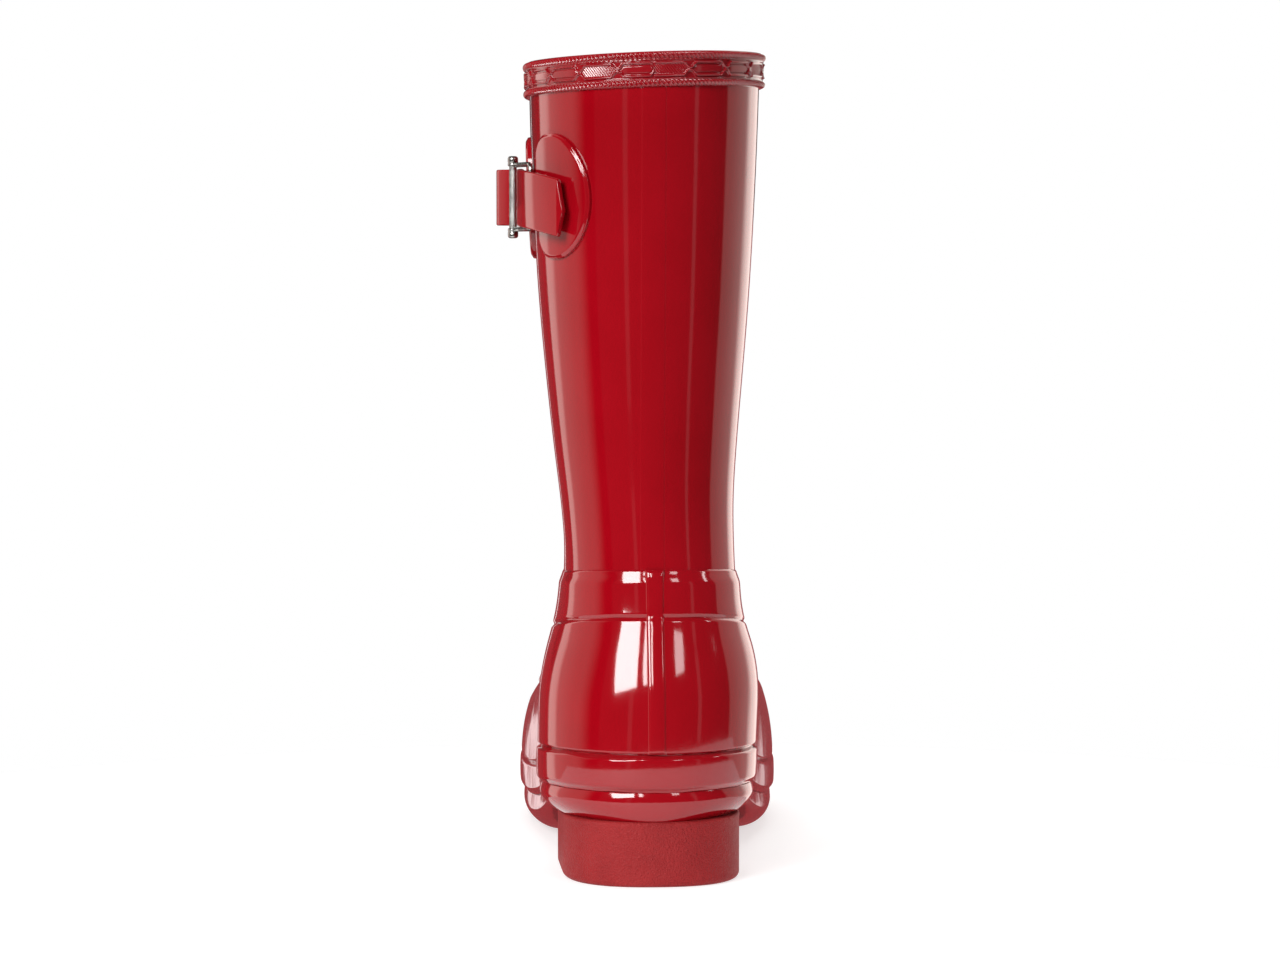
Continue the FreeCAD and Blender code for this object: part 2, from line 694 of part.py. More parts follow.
def make_buckle():
    """A wire bar in the tab, two side arms and the flat-faced bar that presses on the strap."""
    rear = V(REAR_BAR[0], REAR_BAR[1], STRAP_HEIGHT)
    front = V(FRONT_BAR[0], FRONT_BAR[1], STRAP_HEIGHT)
    up = V(0, 0, 1)
    wire = Part.makeCylinder(WIRE_RADIUS, 2 * FRAME_HALF, rear - up * FRAME_HALF)
    bar = Part.makeCylinder(BAR_RADIUS, BAR_LENGTH, front - up * (0.5 * BAR_LENGTH))
    frame = wire.fuse(bar)
    for side in (-1, 1):
        level = up * (side * FRAME_HALF)
        arm = Part.makeCylinder(WIRE_RADIUS, (front - rear).Length, rear + level, front - rear)
        elbow = Part.makeSphere(WIRE_RADIUS, rear + level)
        cap_start = front + up * (side * (0.5 * BAR_LENGTH - CAP_LENGTH))
        cap = Part.makeCylinder(CAP_RADIUS, CAP_LENGTH, cap_start, up * side)
        frame = frame.fuse(arm).fuse(elbow).fuse(cap)
    export(keep_largest(frame), "buckle_frame")


def make_heel_block():
    """A D-shaped block under the heel, with a straight breast and a rounded lower edge."""
    rear = HEEL_BLOCK_REAR
    breast = rear + HEEL_BLOCK_LENGTH
    middle = rear + HEEL_BLOCK_REACH
    half = HEEL_BLOCK_HALF
    shoulder = HEEL_BLOCK_SHOULDER[0] * half
    shoulder_y = rear + HEEL_BLOCK_SHOULDER[1]
    at_breast = half - HEEL_BLOCK_TAPER
    curve = Part.BSplineCurve()
    outline = [(-at_breast, breast), (-half, middle), (-shoulder, shoulder_y), (0, rear),
               (shoulder, shoulder_y), (half, middle), (at_breast, breast)]
    curve.interpolate([V(x + HEEL_BLOCK_MIDDLE, y, 0) for x, y in outline])
    ends = [curve.value(curve.LastParameter), curve.value(curve.FirstParameter)]
    face = Part.Face(Part.Wire([curve.toShape(), Part.makeLine(ends[0], ends[1])]))
    block = face.extrude(V(0, 0, HEEL_BLOCK_HEIGHT))
    low_edges = [e for e in block.Edges if e.BoundBox.ZMax < 0.01]
    block = block.makeFillet(HEEL_BLOCK_EDGE, low_edges)
    export(block, "heel_block")


os.makedirs("parts", exist_ok=True)
make_leg()
make_foot_skins()
make_overlays()
make_heel_stay()
make_sole()
make_outsole()
make_heel_block()
make_front_patch()
make_rear_patch()
make_straps()
make_buckle()
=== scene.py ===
import math

import bmesh
import bpy
import numpy as np
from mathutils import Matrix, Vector


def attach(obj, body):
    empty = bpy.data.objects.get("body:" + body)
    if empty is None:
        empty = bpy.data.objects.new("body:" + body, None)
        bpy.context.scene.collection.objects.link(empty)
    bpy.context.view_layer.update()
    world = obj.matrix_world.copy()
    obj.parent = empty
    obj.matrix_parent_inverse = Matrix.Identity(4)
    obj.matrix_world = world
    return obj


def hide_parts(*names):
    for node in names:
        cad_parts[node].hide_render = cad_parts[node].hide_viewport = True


# The looks of a short glossy rubber rain boot. The boot's surface is worked out here in
# millimetres with x = 0 in the middle of the heel, y = 0 at its back and z = 0 on the ground,
# and to_frame() puts every piece in the CAD frame, in metres.

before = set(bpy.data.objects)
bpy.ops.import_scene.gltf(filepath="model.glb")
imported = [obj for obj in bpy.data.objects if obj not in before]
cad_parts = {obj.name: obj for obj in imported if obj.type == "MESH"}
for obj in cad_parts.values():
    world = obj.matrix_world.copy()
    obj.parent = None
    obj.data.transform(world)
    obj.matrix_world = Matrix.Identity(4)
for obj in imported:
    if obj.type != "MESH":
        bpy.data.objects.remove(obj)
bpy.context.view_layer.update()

# Driving dimensions of the CAD model; the rim tilt, inner ankle, wire and strap tip are refined here ---
BOX_MIDDLE = (3.8, 140.4, 0.0)
RIM_HEIGHT = 295.4
RIM_TILT = 0.036
RIM_FALL = 0.013
BAND_HEIGHT = 12.4
BOOT_LENGTH = 281.5
RUBBER = 2.4
LINING = 1.2
OVERLAY = 1.5
BAND_THICKNESS = 2.2
FOXING = 2.0
PATCH = 2.0
HEEL_BLOCK_HEIGHT = 23.4
HEEL_BLOCK_HALF = 32.1
HEEL_BLOCK_LENGTH = 76.0

LEG_HALF_AT = [(-20, 38.0), (34, 38.0), (46, 38.2), (58, 38.4), (68, 38.2), (76, 37.1), (83, 35.3),
               (90, 32.9), (97, 31.3), (104, 30.8), (118, 30.7), (135, 31.3), (150, 32.6),
               (179, 35.4), (208, 37.9), (240, 39.8), (266, 40.9), (300, 41.8)]
LEG_BACK_AT = [(-20, 2.6), (30, 1.9), (50, 1.5), (70, 3.4), (90, 9.0), (112, 12.6), (135, 12.8),
               (170, 10.6), (220, 7.0), (260, 4.6), (300, 3.0)]
LEG_FRONT_AT = [(-20, 104.0), (60, 104.0), (110, 108.0), (150, 118.0), (190, 127.5), (240, 136.5),
                (300, 142.0)]
LEG_MIDDLE_AT = [(-20, -0.6), (60, -0.2), (80, 0.7), (104, 0.9), (118, 0.4), (140, -0.6), (180, -1.3),
                 (300, -1.3)]
REAR_ROUNDNESS = 1.12
WIDEST_BLEND = 26.0
FOOT_MIDDLE_AT = [(0, -0.6), (50, 0.0), (90, 3.0), (130, 6.6), (170, 9.4), (205, 11.0), (240, 12.4),
                  (290, 14.0)]
FOOT_HALF_AT = [(0, 30.0), (50, 33.5), (90, 36.6), (120, 40.2), (150, 44.6), (180, 48.0),
                (205, 48.6), (235, 46.5), (290, 44.0)]
FOOT_RIDGE_AT = [(0, 140.0), (60, 140.0), (95, 128.0), (120, 113.0), (150, 96.0), (180, 82.0),
                 (210, 72.0), (240, 65.5), (290, 59.0)]
TOE_START = 214.0
FOOT_REAR_START = 60.0
FOOT_REAR_LENGTH = 42.0
PLAN_POWER = 2.3
ARCH_POWER = 2.4
THROAT_BLEND = 38.0
THROAT_HALF = 32.0
SIDE_BLEND = 6.0
SOLE_LINE_AT = [(-12, 34.0), (30, 34.0), (65, 31.5), (115, 20.5), (160, 14.2), (205, 13.8),
                (245, 16.0), (292, 23.0)]
FOXING_TOP_AT = [(-12, 47.5), (30, 47.5), (65, 45.0), (115, 33.5), (160, 26.8), (205, 26.3),
                 (245, 28.5), (292, 35.5)]
WALL_RISE = 8.0
COLLAR_TOP_AT = [(-20, 112.9), (12, 112.6), (48, 109.9), (78, 110.5), (100, 117.0), (122, 130.0)]
COLLAR_LOW_AT = [(-20, 95.8), (12, 95.2), (48, 90.2), (80, 89.0), (108, 97.5), (150, 118.0)]
TREAD_AT = [(78, 23.4), (88, 18.0), (104, 11.6), (130, 4.4), (150, 1.2), (170, 0.0), (193, 0.0),
            (216, 0.0), (236, 1.0), (256, 3.8), (276, 8.0), (300, 14.0)]

STRAP_HEIGHT = 244.9
STRAP_WIDTH = 20.4
STRAP_THICKNESS = 2.0
BAR_LENGTH = 29.8
BAR_RADIUS = 1.3
CAP_RADIUS = 1.9
CAP_LENGTH = 3.6
WIRE_RADIUS = 0.9
FRAME_HALF = 11.6
FRONT_BAR = (-48.5, 58.0)
REAR_BAR = (-42.9, 40.0)
PATCH_HALF_HEIGHT = 22.4
STRAP_FIXED_ROUTE = [(94.0, 3.05), (87.0, 3.1), (80.0, 5.0), (74.0, 10.2), (69.0, 12.6), (65.0, 9.2),
                     (62.0, 5.6), (59.0, 4.4), (55.4, 4.2)]
STRAP_END_ROUTE = [(54.0, 4.2), (50.0, 4.6), (45.5, 5.4), (40.0, 5.9), (33.0, 6.1), (26.0, 6.1),
                   (20.5, 6.0), (17.0, 5.9)]
TIP_LENGTH = 2.4
TIP_DROP = 0.6
TIP_DROOP = 4.8


# The boot's surface --------------------------------------------------------------------------------
def spline(stations):
    """A natural cubic spline through a list of stations, held beyond its two ends."""
    at = np.array([a for a, b in stations], float)
    value = np.array([b for a, b in stations], float)
    count = len(at)
    step = np.diff(at)
    matrix = np.eye(count)
    right = np.zeros(count)
    for i in range(1, count - 1):
        matrix[i, i - 1] = step[i - 1]
        matrix[i, i] = 2.0 * (step[i - 1] + step[i])
        matrix[i, i + 1] = step[i]
        right[i] = 6.0 * ((value[i + 1] - value[i]) / step[i] - (value[i] - value[i - 1]) / step[i - 1])
    bend = np.linalg.solve(matrix, right)

    def evaluate(t):
        t = np.clip(t, at[0], at[-1])
        i = np.clip(np.searchsorted(at, t) - 1, 0, count - 2)
        a = (at[i + 1] - t) / step[i]
        b = 1.0 - a
        curve = (a ** 3 - a) * bend[i] + (b ** 3 - b) * bend[i + 1]
        return a * value[i] + b * value[i + 1] + curve * step[i] ** 2 / 6.0

    return evaluate


leg_half = spline(LEG_HALF_AT)
leg_back = spline(LEG_BACK_AT)
leg_front = spline(LEG_FRONT_AT)
leg_middle = spline(LEG_MIDDLE_AT)
foot_middle = spline(FOOT_MIDDLE_AT)
foot_half = spline(FOOT_HALF_AT)
foot_ridge = spline(FOOT_RIDGE_AT)
sole_line = spline(SOLE_LINE_AT)
foxing_top = spline(FOXING_TOP_AT)
collar_top = spline(COLLAR_TOP_AT)
collar_low = spline(COLLAR_LOW_AT)
tread_line = spline(TREAD_AT)


def smooth_step(low, high, t):
    s = np.clip((t - low) / (high - low), 0.0, 1.0)
    return s * s * s * (s * (6.0 * s - 15.0) + 10.0)


def leg_field(x, y, z):
    half = leg_half(z)
    rear = REAR_ROUNDNESS * half
    widest = leg_back(z) + rear
    front = leg_front(z) - widest
    reach = rear + (front - rear) * smooth_step(widest - WIDEST_BLEND, widest + WIDEST_BLEND, y)
    return half * (np.hypot((x - leg_middle(z)) / half, (y - widest) / reach) - 1.0)


def foot_field(x, y, z):
    half = foot_half(y)
    across = np.abs(x - foot_middle(y)) / half
    ahead = np.maximum(0.0, y - TOE_START) / (BOOT_LENGTH - FOXING - TOE_START)
    behind = np.maximum(0.0, FOOT_REAR_START - y) / FOOT_REAR_LENGTH
    plan = across ** PLAN_POWER + ahead ** PLAN_POWER + behind ** PLAN_POWER
    wall = sole_line(y) + WALL_RISE
    rise = np.maximum(0.0, z - wall) / (foot_ridge(y) - wall)
    arch = plan ** (ARCH_POWER / PLAN_POWER) + rise ** ARCH_POWER
    return half * (arch ** (1.0 / ARCH_POWER) - 1.0)


def boot_field(p):
    """Below zero inside the boot: the leg and the foot melted together at the throat."""
    x, y, z = p[..., 0], p[..., 1], p[..., 2]
    leg = leg_field(x, y, z)
    foot = foot_field(x, y, z)
    aside = smooth_step(0.3, 1.0, np.abs(x - foot_middle(y)) / THROAT_HALF)
    reach = SIDE_BLEND + (THROAT_BLEND - SIDE_BLEND) * smooth_step(72.0, 112.0, y) * (1.0 - aside)
    near = np.maximum(0.0, reach - np.abs(leg - foot)) / reach
    return np.minimum(leg, foot) - near * near * reach / 4.0


def outward(p):
    """The unit normal of the boot's surface."""
    step = 0.05
    normal = np.empty_like(p)
    for axis in range(3):
        shift = np.zeros(3)
        shift[axis] = step
        normal[..., axis] = boot_field(p + shift) - boot_field(p - shift)
    return normal / np.linalg.norm(normal, axis=-1, keepdims=True)


def level_outward(p):
    """The surface's outward direction in plan, as unit vectors."""
    flat = outward(p) * np.array([1.0, 1.0, 0.0])
    return flat / np.linalg.norm(flat, axis=-1, keepdims=True)


def centre_x(y, z):
    """The boot's middle: over the foot's middle line low down, and in the leg's middle higher up."""
    share = smooth_step(70.0, 120.0, z)
    return foot_middle(y) * (1.0 - share) + leg_middle(z) * share


def bisect(low, high, holds, steps=24):
    """Where a condition that holds at low stops holding on the way to high, by halving."""
    for _ in range(steps):
        middle = 0.5 * (low + high)
        held = holds(middle)
        low = np.where(held, middle, low)
        high = np.where(held, high, middle)
    return 0.5 * (low + high)


def cast(origin, direction, farthest=110.0):
    """Where rays from inside the boot leave its surface."""
    start = np.zeros(origin.shape[:-1])

    def still_inside(run):
        return boot_field(origin + direction * run[..., None]) < 0

    run = bisect(start, start + farthest, still_inside)
    return origin + direction * run[..., None]


def find_front(z):
    """y of the boot's front at heights z, in its middle plane."""
    def behind_front(y):
        return boot_field(np.stack([centre_x(y, z), y, z], -1)) < 0

    return bisect(np.full_like(z, 60.0), np.full_like(z, 300.0), behind_front)


HEIGHTS = np.arange(-12.0, 312.0, 0.5)
FRONTS = find_front(HEIGHTS)
REAR_FOCUS = 36.0
FRONT_FOCUS = 38.0
REAR_SHARE = 0.17
SIDE_SHARE = 0.35


def ring_rays(s, z):
    """Origins and directions of the spokes of a level section, fanned round two focus points."""
    s = np.mod(np.asarray(s, float), 1.0)
    s, z = np.broadcast_arrays(s, np.asarray(z, float))
    half = np.minimum(s, 1.0 - s)
    side = np.where(s <= 0.5, -1.0, 1.0)
    rear = leg_back(z) + REAR_FOCUS
    front = np.maximum(np.interp(z, HEIGHTS, FRONTS) - FRONT_FOCUS, rear + 14.0)
    along = np.clip((half - REAR_SHARE) / (SIDE_SHARE - REAR_SHARE), 0.0, 1.0)
    turn = np.where(half < REAR_SHARE, half / REAR_SHARE,
                    1.0 + np.maximum(0.0, half - SIDE_SHARE) / (0.5 - SIDE_SHARE)) * (0.5 * math.pi)
    y = rear + (front - rear) * along
    origin = np.stack([centre_x(y, z), y, z], -1)
    direction = np.stack([side * np.sin(turn), -np.cos(turn), np.zeros_like(turn)], -1)
    return origin, direction


def at_ring(s, z):
    """Points on the surface at height z, s of the way round from the back centre by the outer side."""
    return cast(*ring_rays(s, z), 130.0)


def height_on(s, curve, start):
    """The height z at which the spoke s crosses a line z = curve(y) seen from the side."""
    z = np.full(np.shape(s), float(start))
    for _ in range(14):
        z = 0.5 * z + 0.5 * curve(at_ring(s, z)[..., 1])
    return z


# Mesh helpers ----------------------------------------------------------------------------------------
def to_frame(points):
    return (np.asarray(points, float) - np.array(BOX_MIDDLE)) * 0.001


def new_object(name, vertices, faces, material, smooth=True):
    mesh = bpy.data.meshes.new(name)
    mesh.from_pydata(to_frame(vertices).tolist(), [], faces)
    mesh.materials.append(material)
    mesh.validate()
    piece = bpy.data.objects.new(name, mesh)
    bpy.context.scene.collection.objects.link(piece)
    tidy_mesh(mesh)
    if smooth:
        mesh.polygons.foreach_set("use_smooth", np.ones(len(mesh.polygons), bool))
    return piece


def tidy_mesh(mesh):
    work = bmesh.new()
    work.from_mesh(mesh)
    bmesh.ops.remove_doubles(work, verts=work.verts, dist=1e-6)
    bmesh.ops.recalc_face_normals(work, faces=work.faces)
    work.to_mesh(mesh)
    work.free()


def grid_faces(rows, columns, first=0, wrap_rows=False, wrap_columns=False):
    faces = []
    last_row = rows if wrap_rows else rows - 1
    last_column = columns if wrap_columns else columns - 1
    for i in range(last_row):
        a = first + i * columns
        b = first + ((i + 1) % rows) * columns
        for j in range(last_column):
            k = (j + 1) % columns
            faces.append((a + j, a + k, b + k, b + j))
    return faces


def ring_tube(name, points, material):
    """A closed loop of rows, each row a closed ring: a wall with two sides."""
    rows, columns = points.shape[:2]
    faces = grid_faces(rows, columns, wrap_rows=True, wrap_columns=True)
    return new_object(name, points.reshape(-1, 3), faces, material)


def slab(outer, inner):
    """Vertices and faces of a closed plate between two grids."""
    rows, columns = outer.shape[:2]
    count = rows * columns
    faces = grid_faces(rows, columns) + [f[::-1] for f in grid_faces(rows, columns, count)]
    border = [i for i in range(columns)]
    border += [i * columns + columns - 1 for i in range(1, rows)]
    border += [(rows - 1) * columns + i for i in range(columns - 2, -1, -1)]
    border += [i * columns for i in range(rows - 2, 0, -1)]
    for a, b in zip(border, border[1:] + border[:1]):
        faces.append((a, a + count, b + count, b))
    return np.concatenate([outer.reshape(-1, 3), inner.reshape(-1, 3)]), faces


def spaced(count, length, edge=(0.0, 0.12, 0.3, 0.55, 0.85, 1.2, 1.6, 2.1, 2.8)):
    """Shares from 0 to 1, closer together near both ends, for a strip length long."""
    near = np.array(edge) / length
    middle = np.linspace(near[-1], 1.0 - near[-1], count)[1:-1]
    return np.concatenate([near, middle, 1.0 - near[::-1]])


def run_length(points, axis):
    step = np.linalg.norm(np.diff(points, axis=axis), axis=-1)
    zero = np.zeros_like(np.take(step, [0], axis))
    return np.concatenate([zero, np.cumsum(step, axis)], axis)


def border_distance(points):
    """How far each point of a grid is from the grid's nearest border."""
    down = run_length(points, 0)
    across = run_length(points, 1)
    near = np.minimum(down, down[-1:] - down)
    return np.minimum(near, np.minimum(across, across[:, -1:] - across))


def soft_edge(distance, radius):
    """A smooth rise from 0 at a border to 1 a radius further in."""
    t = np.clip(distance / radius, 0.0, 1.0)
    return t * t * (3.0 - 2.0 * t)


# A layer's border lies SINK under the surface it is on, and its inner side UNDERLAP deeper still.
SINK = 0.25
UNDERLAP = 0.15


def layer(points, level, base=0.0):
    """Both sides of a layer on the boot: the outer one at its level, the inner one sunk under its base."""
    normal = outward(points)
    under = np.broadcast_to(base - SINK - UNDERLAP, level.shape)
    return points + normal * level[..., None], points + normal * under[..., None]


def wobble(s, seed):
    """A small uneven wave round the boot, between about -1 and 1."""
    turn = 2.0 * math.pi * np.asarray(s, float)
    slow = np.sin(5 * turn + seed)
    wave = slow + 0.8 * np.sin(11 * turn + 2.3 * seed) + 0.6 * np.sin(23 * turn + 4.1 * seed)
    return wave / 2.4


# Materials -------------------------------------------------------------------------------------------
def new_material(name, **values):
    material = bpy.data.materials.new(name)
    material.use_nodes = True
    shader = material.node_tree.nodes["Principled BSDF"]
    for key, value in values.items():
        shader.inputs[key.replace("_", " ")].default_value = value
    return material, material.node_tree, shader


def node(tree, kind, links=(), **values):
    """A node with its sockets set, or linked where links gives (socket, output)."""
    made = tree.nodes.new(kind)
    for key, value in values.items():
        if hasattr(made, key):
            setattr(made, key, value)
        else:
            made.inputs[key.replace("_", " ")].default_value = value
    for socket, output in links:
        tree.links.new(output, made.inputs[socket])
    return made


def object_space(tree):
    return tree.nodes.new("ShaderNodeTexCoord").outputs["Object"]


def tint(tree, shader, factor, low, high):
    """Base colour that wanders between two tints."""
    ramp = node(tree, "ShaderNodeValToRGB", [("Fac", factor)])
    ramp.color_ramp.elements[0].color = (*low, 1.0)
    ramp.color_ramp.elements[1].color = (*high, 1.0)
    ramp.color_ramp.elements[0].position = 0.3
    ramp.color_ramp.elements[1].position = 0.7
    tree.links.new(ramp.outputs["Color"], shader.inputs["Base Color"])


def vary(tree, shader, socket, factor, low, high):
    spread = node(tree, "ShaderNodeMapRange", [("Value", factor)])
    spread.inputs["To Min"].default_value = low
    spread.inputs["To Max"].default_value = high
    tree.links.new(spread.outputs["Result"], shader.inputs[socket])


def bumps(tree, shader, layers):
    """Bump from a list of (height output, distance in metres, strength)."""
    last = None
    for height, distance, strength in layers:
        bump = node(tree, "ShaderNodeBump", [("Height", height)])
        bump.inputs["Distance"].default_value = distance
        bump.inputs["Strength"].default_value = strength
        if last:
            tree.links.new(last.outputs["Normal"], bump.inputs["Normal"])
        last = bump
    tree.links.new(last.outputs["Normal"], shader.inputs["Normal"])


def noise(tree, place, scale, detail=2.0, roughness=0.5):
    return node(tree, "ShaderNodeTexNoise", [("Vector", place)], Scale=scale, Detail=detail,
                Roughness=roughness).outputs["Fac"]


def gloss_rubber():
    material, tree, shader = new_material("gloss_rubber", Roughness=0.07, IOR=1.5)
    shader.inputs["Coat Weight"].default_value = 0.35
    shader.inputs["Coat Roughness"].default_value = 0.03
    place = object_space(tree)
    cloud = noise(tree, place, 28.0, 3.0)
    tint(tree, shader, cloud, (0.275, 0.0012, 0.0052), (0.315, 0.0018, 0.0072))
    vary(tree, shader, "Roughness", noise(tree, place, 90.0, 4.0), 0.05, 0.12)
    tall = node(tree, "ShaderNodeMapping", [("Vector", place)])
    tall.inputs["Scale"].default_value = (1.0, 1.0, 0.10)
    streaks = noise(tree, tall.outputs["Vector"], 75.0, 1.5)
    waves = noise(tree, place, 32.0, 1.0)
    peel = noise(tree, place, 420.0, 2.0)
    bumps(tree, shader, [(streaks, 0.0010, 0.16), (waves, 0.0012, 0.08), (peel, 0.00010, 0.10)])
    return material


def matte_rubber():
    material, tree, shader = new_material("matte_rubber", Roughness=0.62, IOR=1.48)
    shader.inputs["Specular IOR Level"].default_value = 0.28
    place = object_space(tree)
    tint(tree, shader, noise(tree, place, 60.0, 5.0), (0.245, 0.008, 0.010), (0.315, 0.014, 0.016))
    vary(tree, shader, "Roughness", noise(tree, place, 500.0, 3.0), 0.5, 0.72)
    grain = node(tree, "ShaderNodeTexVoronoi", [("Vector", place)], Scale=1500.0)
    pits = noise(tree, place, 700.0, 3.0)
    bumps(tree, shader, [(grain.outputs["Distance"], 0.00038, 0.8), (pits, 0.00040, 0.7)])
    return material


def band_rubber():
    material, tree, shader = new_material("band_rubber", Roughness=0.10, IOR=1.55)
    shader.inputs["Coat Weight"].default_value = 0.8
    shader.inputs["Coat Roughness"].default_value = 0.06
    place = object_space(tree)
    tint(tree, shader, noise(tree, place, 45.0, 3.0), (0.255, 0.0030, 0.0075), (0.305, 0.0045, 0.0100))
    vary(tree, shader, "Roughness", noise(tree, place, 260.0, 4.0), 0.08, 0.18)
    bumps(tree, shader, [(noise(tree, place, 300.0, 2.0), 0.00010, 0.10)])
    return material


def knit_lining():
    material, tree, shader = new_material("knit_lining", Roughness=0.85, IOR=1.45)
    shader.inputs["Sheen Weight"].default_value = 0.25
    place = object_space(tree)
    tint(tree, shader, noise(tree, place, 160.0, 4.0), (0.50, 0.47, 0.43), (0.64, 0.61, 0.57))
    columns = node(tree, "ShaderNodeTexWave", [("Vector", place)], Scale=190.0, Distortion=2.0)
    columns.bands_direction = "DIAGONAL"
    rows = node(tree, "ShaderNodeTexWave", [("Vector", place)], Scale=260.0, Distortion=1.0)
    rows.bands_direction = "Z"
    bumps(tree, shader, [(columns.outputs["Fac"], 0.0003, 0.5), (rows.outputs["Fac"], 0.0003, 0.6)])
    return material


def footbed_cloth():
    material, tree, shader = new_material("footbed_cloth", Roughness=0.9, IOR=1.45)
    shader.inputs["Sheen Weight"].default_value = 0.4
    place = object_space(tree)
    tint(tree, shader, noise(tree, place, 220.0, 5.0), (0.05, 0.05, 0.055), (0.10, 0.095, 0.095))
    bumps(tree, shader, [(noise(tree, place, 1400.0, 3.0), 0.0004, 0.6)])
    return material


def plated_metal():
    material, tree, shader = new_material("plated_metal", Metallic=1.0, Roughness=0.24)
    place = object_space(tree)
    tint(tree, shader, noise(tree, place, 300.0, 4.0), (0.30, 0.29, 0.28), (0.50, 0.49, 0.47))
    vary(tree, shader, "Roughness", noise(tree, place, 800.0, 3.0), 0.18, 0.30)
    bumps(tree, shader, [(noise(tree, place, 1500.0, 2.0), 0.00003, 0.2)])
    return material


def inner_board(name, low, high, scale):
    material, tree, shader = new_material(name, Roughness=0.85, IOR=1.45)
    place = object_space(tree)
    tint(tree, shader, noise(tree, place, scale, 6.0), low, high)
    bumps(tree, shader, [(noise(tree, place, 4.0 * scale, 4.0), 0.0003, 0.5)])
    return material


GLOSS = gloss_rubber()
MATTE = matte_rubber()
BAND = band_rubber()
KNIT = knit_lining()
CLOTH = footbed_cloth()
METAL = plated_metal()
BOARD = inner_board("fibre_board", (0.30, 0.22, 0.14), (0.46, 0.36, 0.25), 180.0)
CORK = inner_board("pressed_cork", (0.22, 0.14, 0.08), (0.45, 0.31, 0.18), 320.0)


def settle(piece, body, slot, *nodes):
    """Rides a piece on its body and hides the CAD nodes that it stands for; slot is not used."""
    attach(piece, body)
    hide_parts(*nodes)


def plate(name, node_name, points, level, base=0.0):
    """An overlay with borders all round."""
    piece = new_object(name, *slab(*layer(points, level, base)), GLOSS)
    settle(piece, "boot", "gloss_rubber", node_name)


def hoop(name, node_name, points, level):
    """An overlay that goes right round the boot."""
    outer, inner = layer(points, level)
    piece = ring_tube(name, np.concatenate([outer, inner[::-1]]), GLOSS)
    settle(piece, "boot", "gloss_rubber", node_name)


def disc(name, rows, material, *settling):
    """A closed piece of rings whose first and last ring shrink to a point or lie inside it."""
    faces = grid_faces(len(rows), rows.shape[1], wrap_columns=True)
    piece = new_object(name, rows.reshape(-1, 3), faces, material)
    settle(piece, "boot", *settling)
    return piece


# Walls of the boot ---------------------------------------------------------------------------------
def rim_height(points):
    """The rim's height above points of the leg: it falls a little to the outer side and to the front."""
    return RIM_HEIGHT + RIM_TILT * points[..., 0] - RIM_FALL * points[..., 1]


def collar_seam(y):
    return 0.5 * (collar_top(y) + collar_low(y))


def wall_rows(s, low, high, levels, count):
    """Rows of points from height low to high, each a ring, with a level for each row."""
    share = np.linspace(0.0, 1.0, count)[:, None]
    z = low + (high - low) * share
    points = at_ring(np.broadcast_to(s, z.shape), z)
    return points + outward(points) * np.broadcast_to(np.asarray(levels, float), (count,))[:, None, None]


def closed_wall(name, s, low, high, outer_level, inner_level, count, material):
    """A wall between two levels, with rounded ends, as one closed mesh."""
    outside = wall_rows(s, low, high, outer_level, count)
    inside = wall_rows(s, low, high, inner_level, count)[::-1]
    middle = 0.5 * (outer_level + inner_level)
    radius = 0.5 * (outer_level - inner_level)
    lips = []
    for end, sign in ((high, 1.0), (low, -1.0)):
        base = at_ring(s, end)
        normal = outward(base)
        for angle in np.linspace(0.0, math.pi, 7)[1:-1]:
            rise = np.array([0.0, 0.0, sign * 0.6 * radius * math.sin(angle)])
            level = middle + sign * radius * math.cos(angle)
            lips.append(base + normal * level + rise)
    points = np.concatenate([outside, np.array(lips[:5]), inside, np.array(lips[5:])])
    return ring_tube(name, points, material)


def make_walls():
    s = np.arange(400) / 400.0
    seam = height_on(s, collar_seam, 100.0)
    rim = rim_height(at_ring(s, 292.0))
    floor = height_on(s, lambda y: sole_line(y) + 2.0, 20.0)
    leg = closed_wall("leg_wall", s, seam, rim - 1.2, 0.0, -RUBBER, 150, GLOSS)
    settle(leg, "boot", "gloss_rubber", "leg_upper")
    foot = closed_wall("foot_wall", s, floor, seam, 0.0, -RUBBER, 150, GLOSS)
    settle(foot, "boot", "gloss_rubber", "quarter", "vamp")
    inside = wall_rows(s, floor + 5.0, seam, -RUBBER - LINING, 70)
    shaft = wall_rows(s, seam, rim - 2.4, -RUBBER - LINING, 90)[1:]
    back_shaft = wall_rows(s, seam, rim - 2.4, -RUBBER - 0.05, 90)[::-1]
    back_inside = wall_rows(s, floor + 5.0, seam, -RUBBER - 0.05, 70)[::-1][1:]
    lining = ring_tube("knit_lining", np.concatenate([inside, shaft, back_shaft, back_inside]), KNIT)
    settle(lining, "boot", "knit_lining", "leg_lining", "foot_lining")


FOOTBED_TOP = 8.1
FOOTBED_DEPTH = 4.4


def make_footbed():
    """The padded insole: a rounded slab that follows the foot's outline."""
    s = np.arange(240) / 240.0
    top = height_on(s, lambda y: sole_line(y) + FOOTBED_TOP + 0.1, 28.0)
    origin, _ = ring_rays(s, top)
    edge = at_ring(s, top)
    edge = edge - outward(edge) * (RUBBER + LINING + 0.35)
    rows = []
    for share in (0.0, 0.25, 0.5, 0.7, 0.85, 0.94, 0.985):
        ring = origin + (edge - origin) * share
        ring[:, 2] = sole_line(ring[:, 1]) + FOOTBED_TOP
        rows.append(ring)
    turned_under = [(share, FOOTBED_DEPTH) for share in (0.98, 0.5, 0.0)]
    for share, drop in [(1.0, 0.7), (1.0, 3.8)] + turned_under:
        ring = origin + (edge - origin) * share
        ring[:, 2] = sole_line(ring[:, 1]) + FOOTBED_TOP - drop
        rows.append(ring)
    piece = disc("footbed_pad", np.array(rows), CLOTH, "footbed_fabric", "footbed")


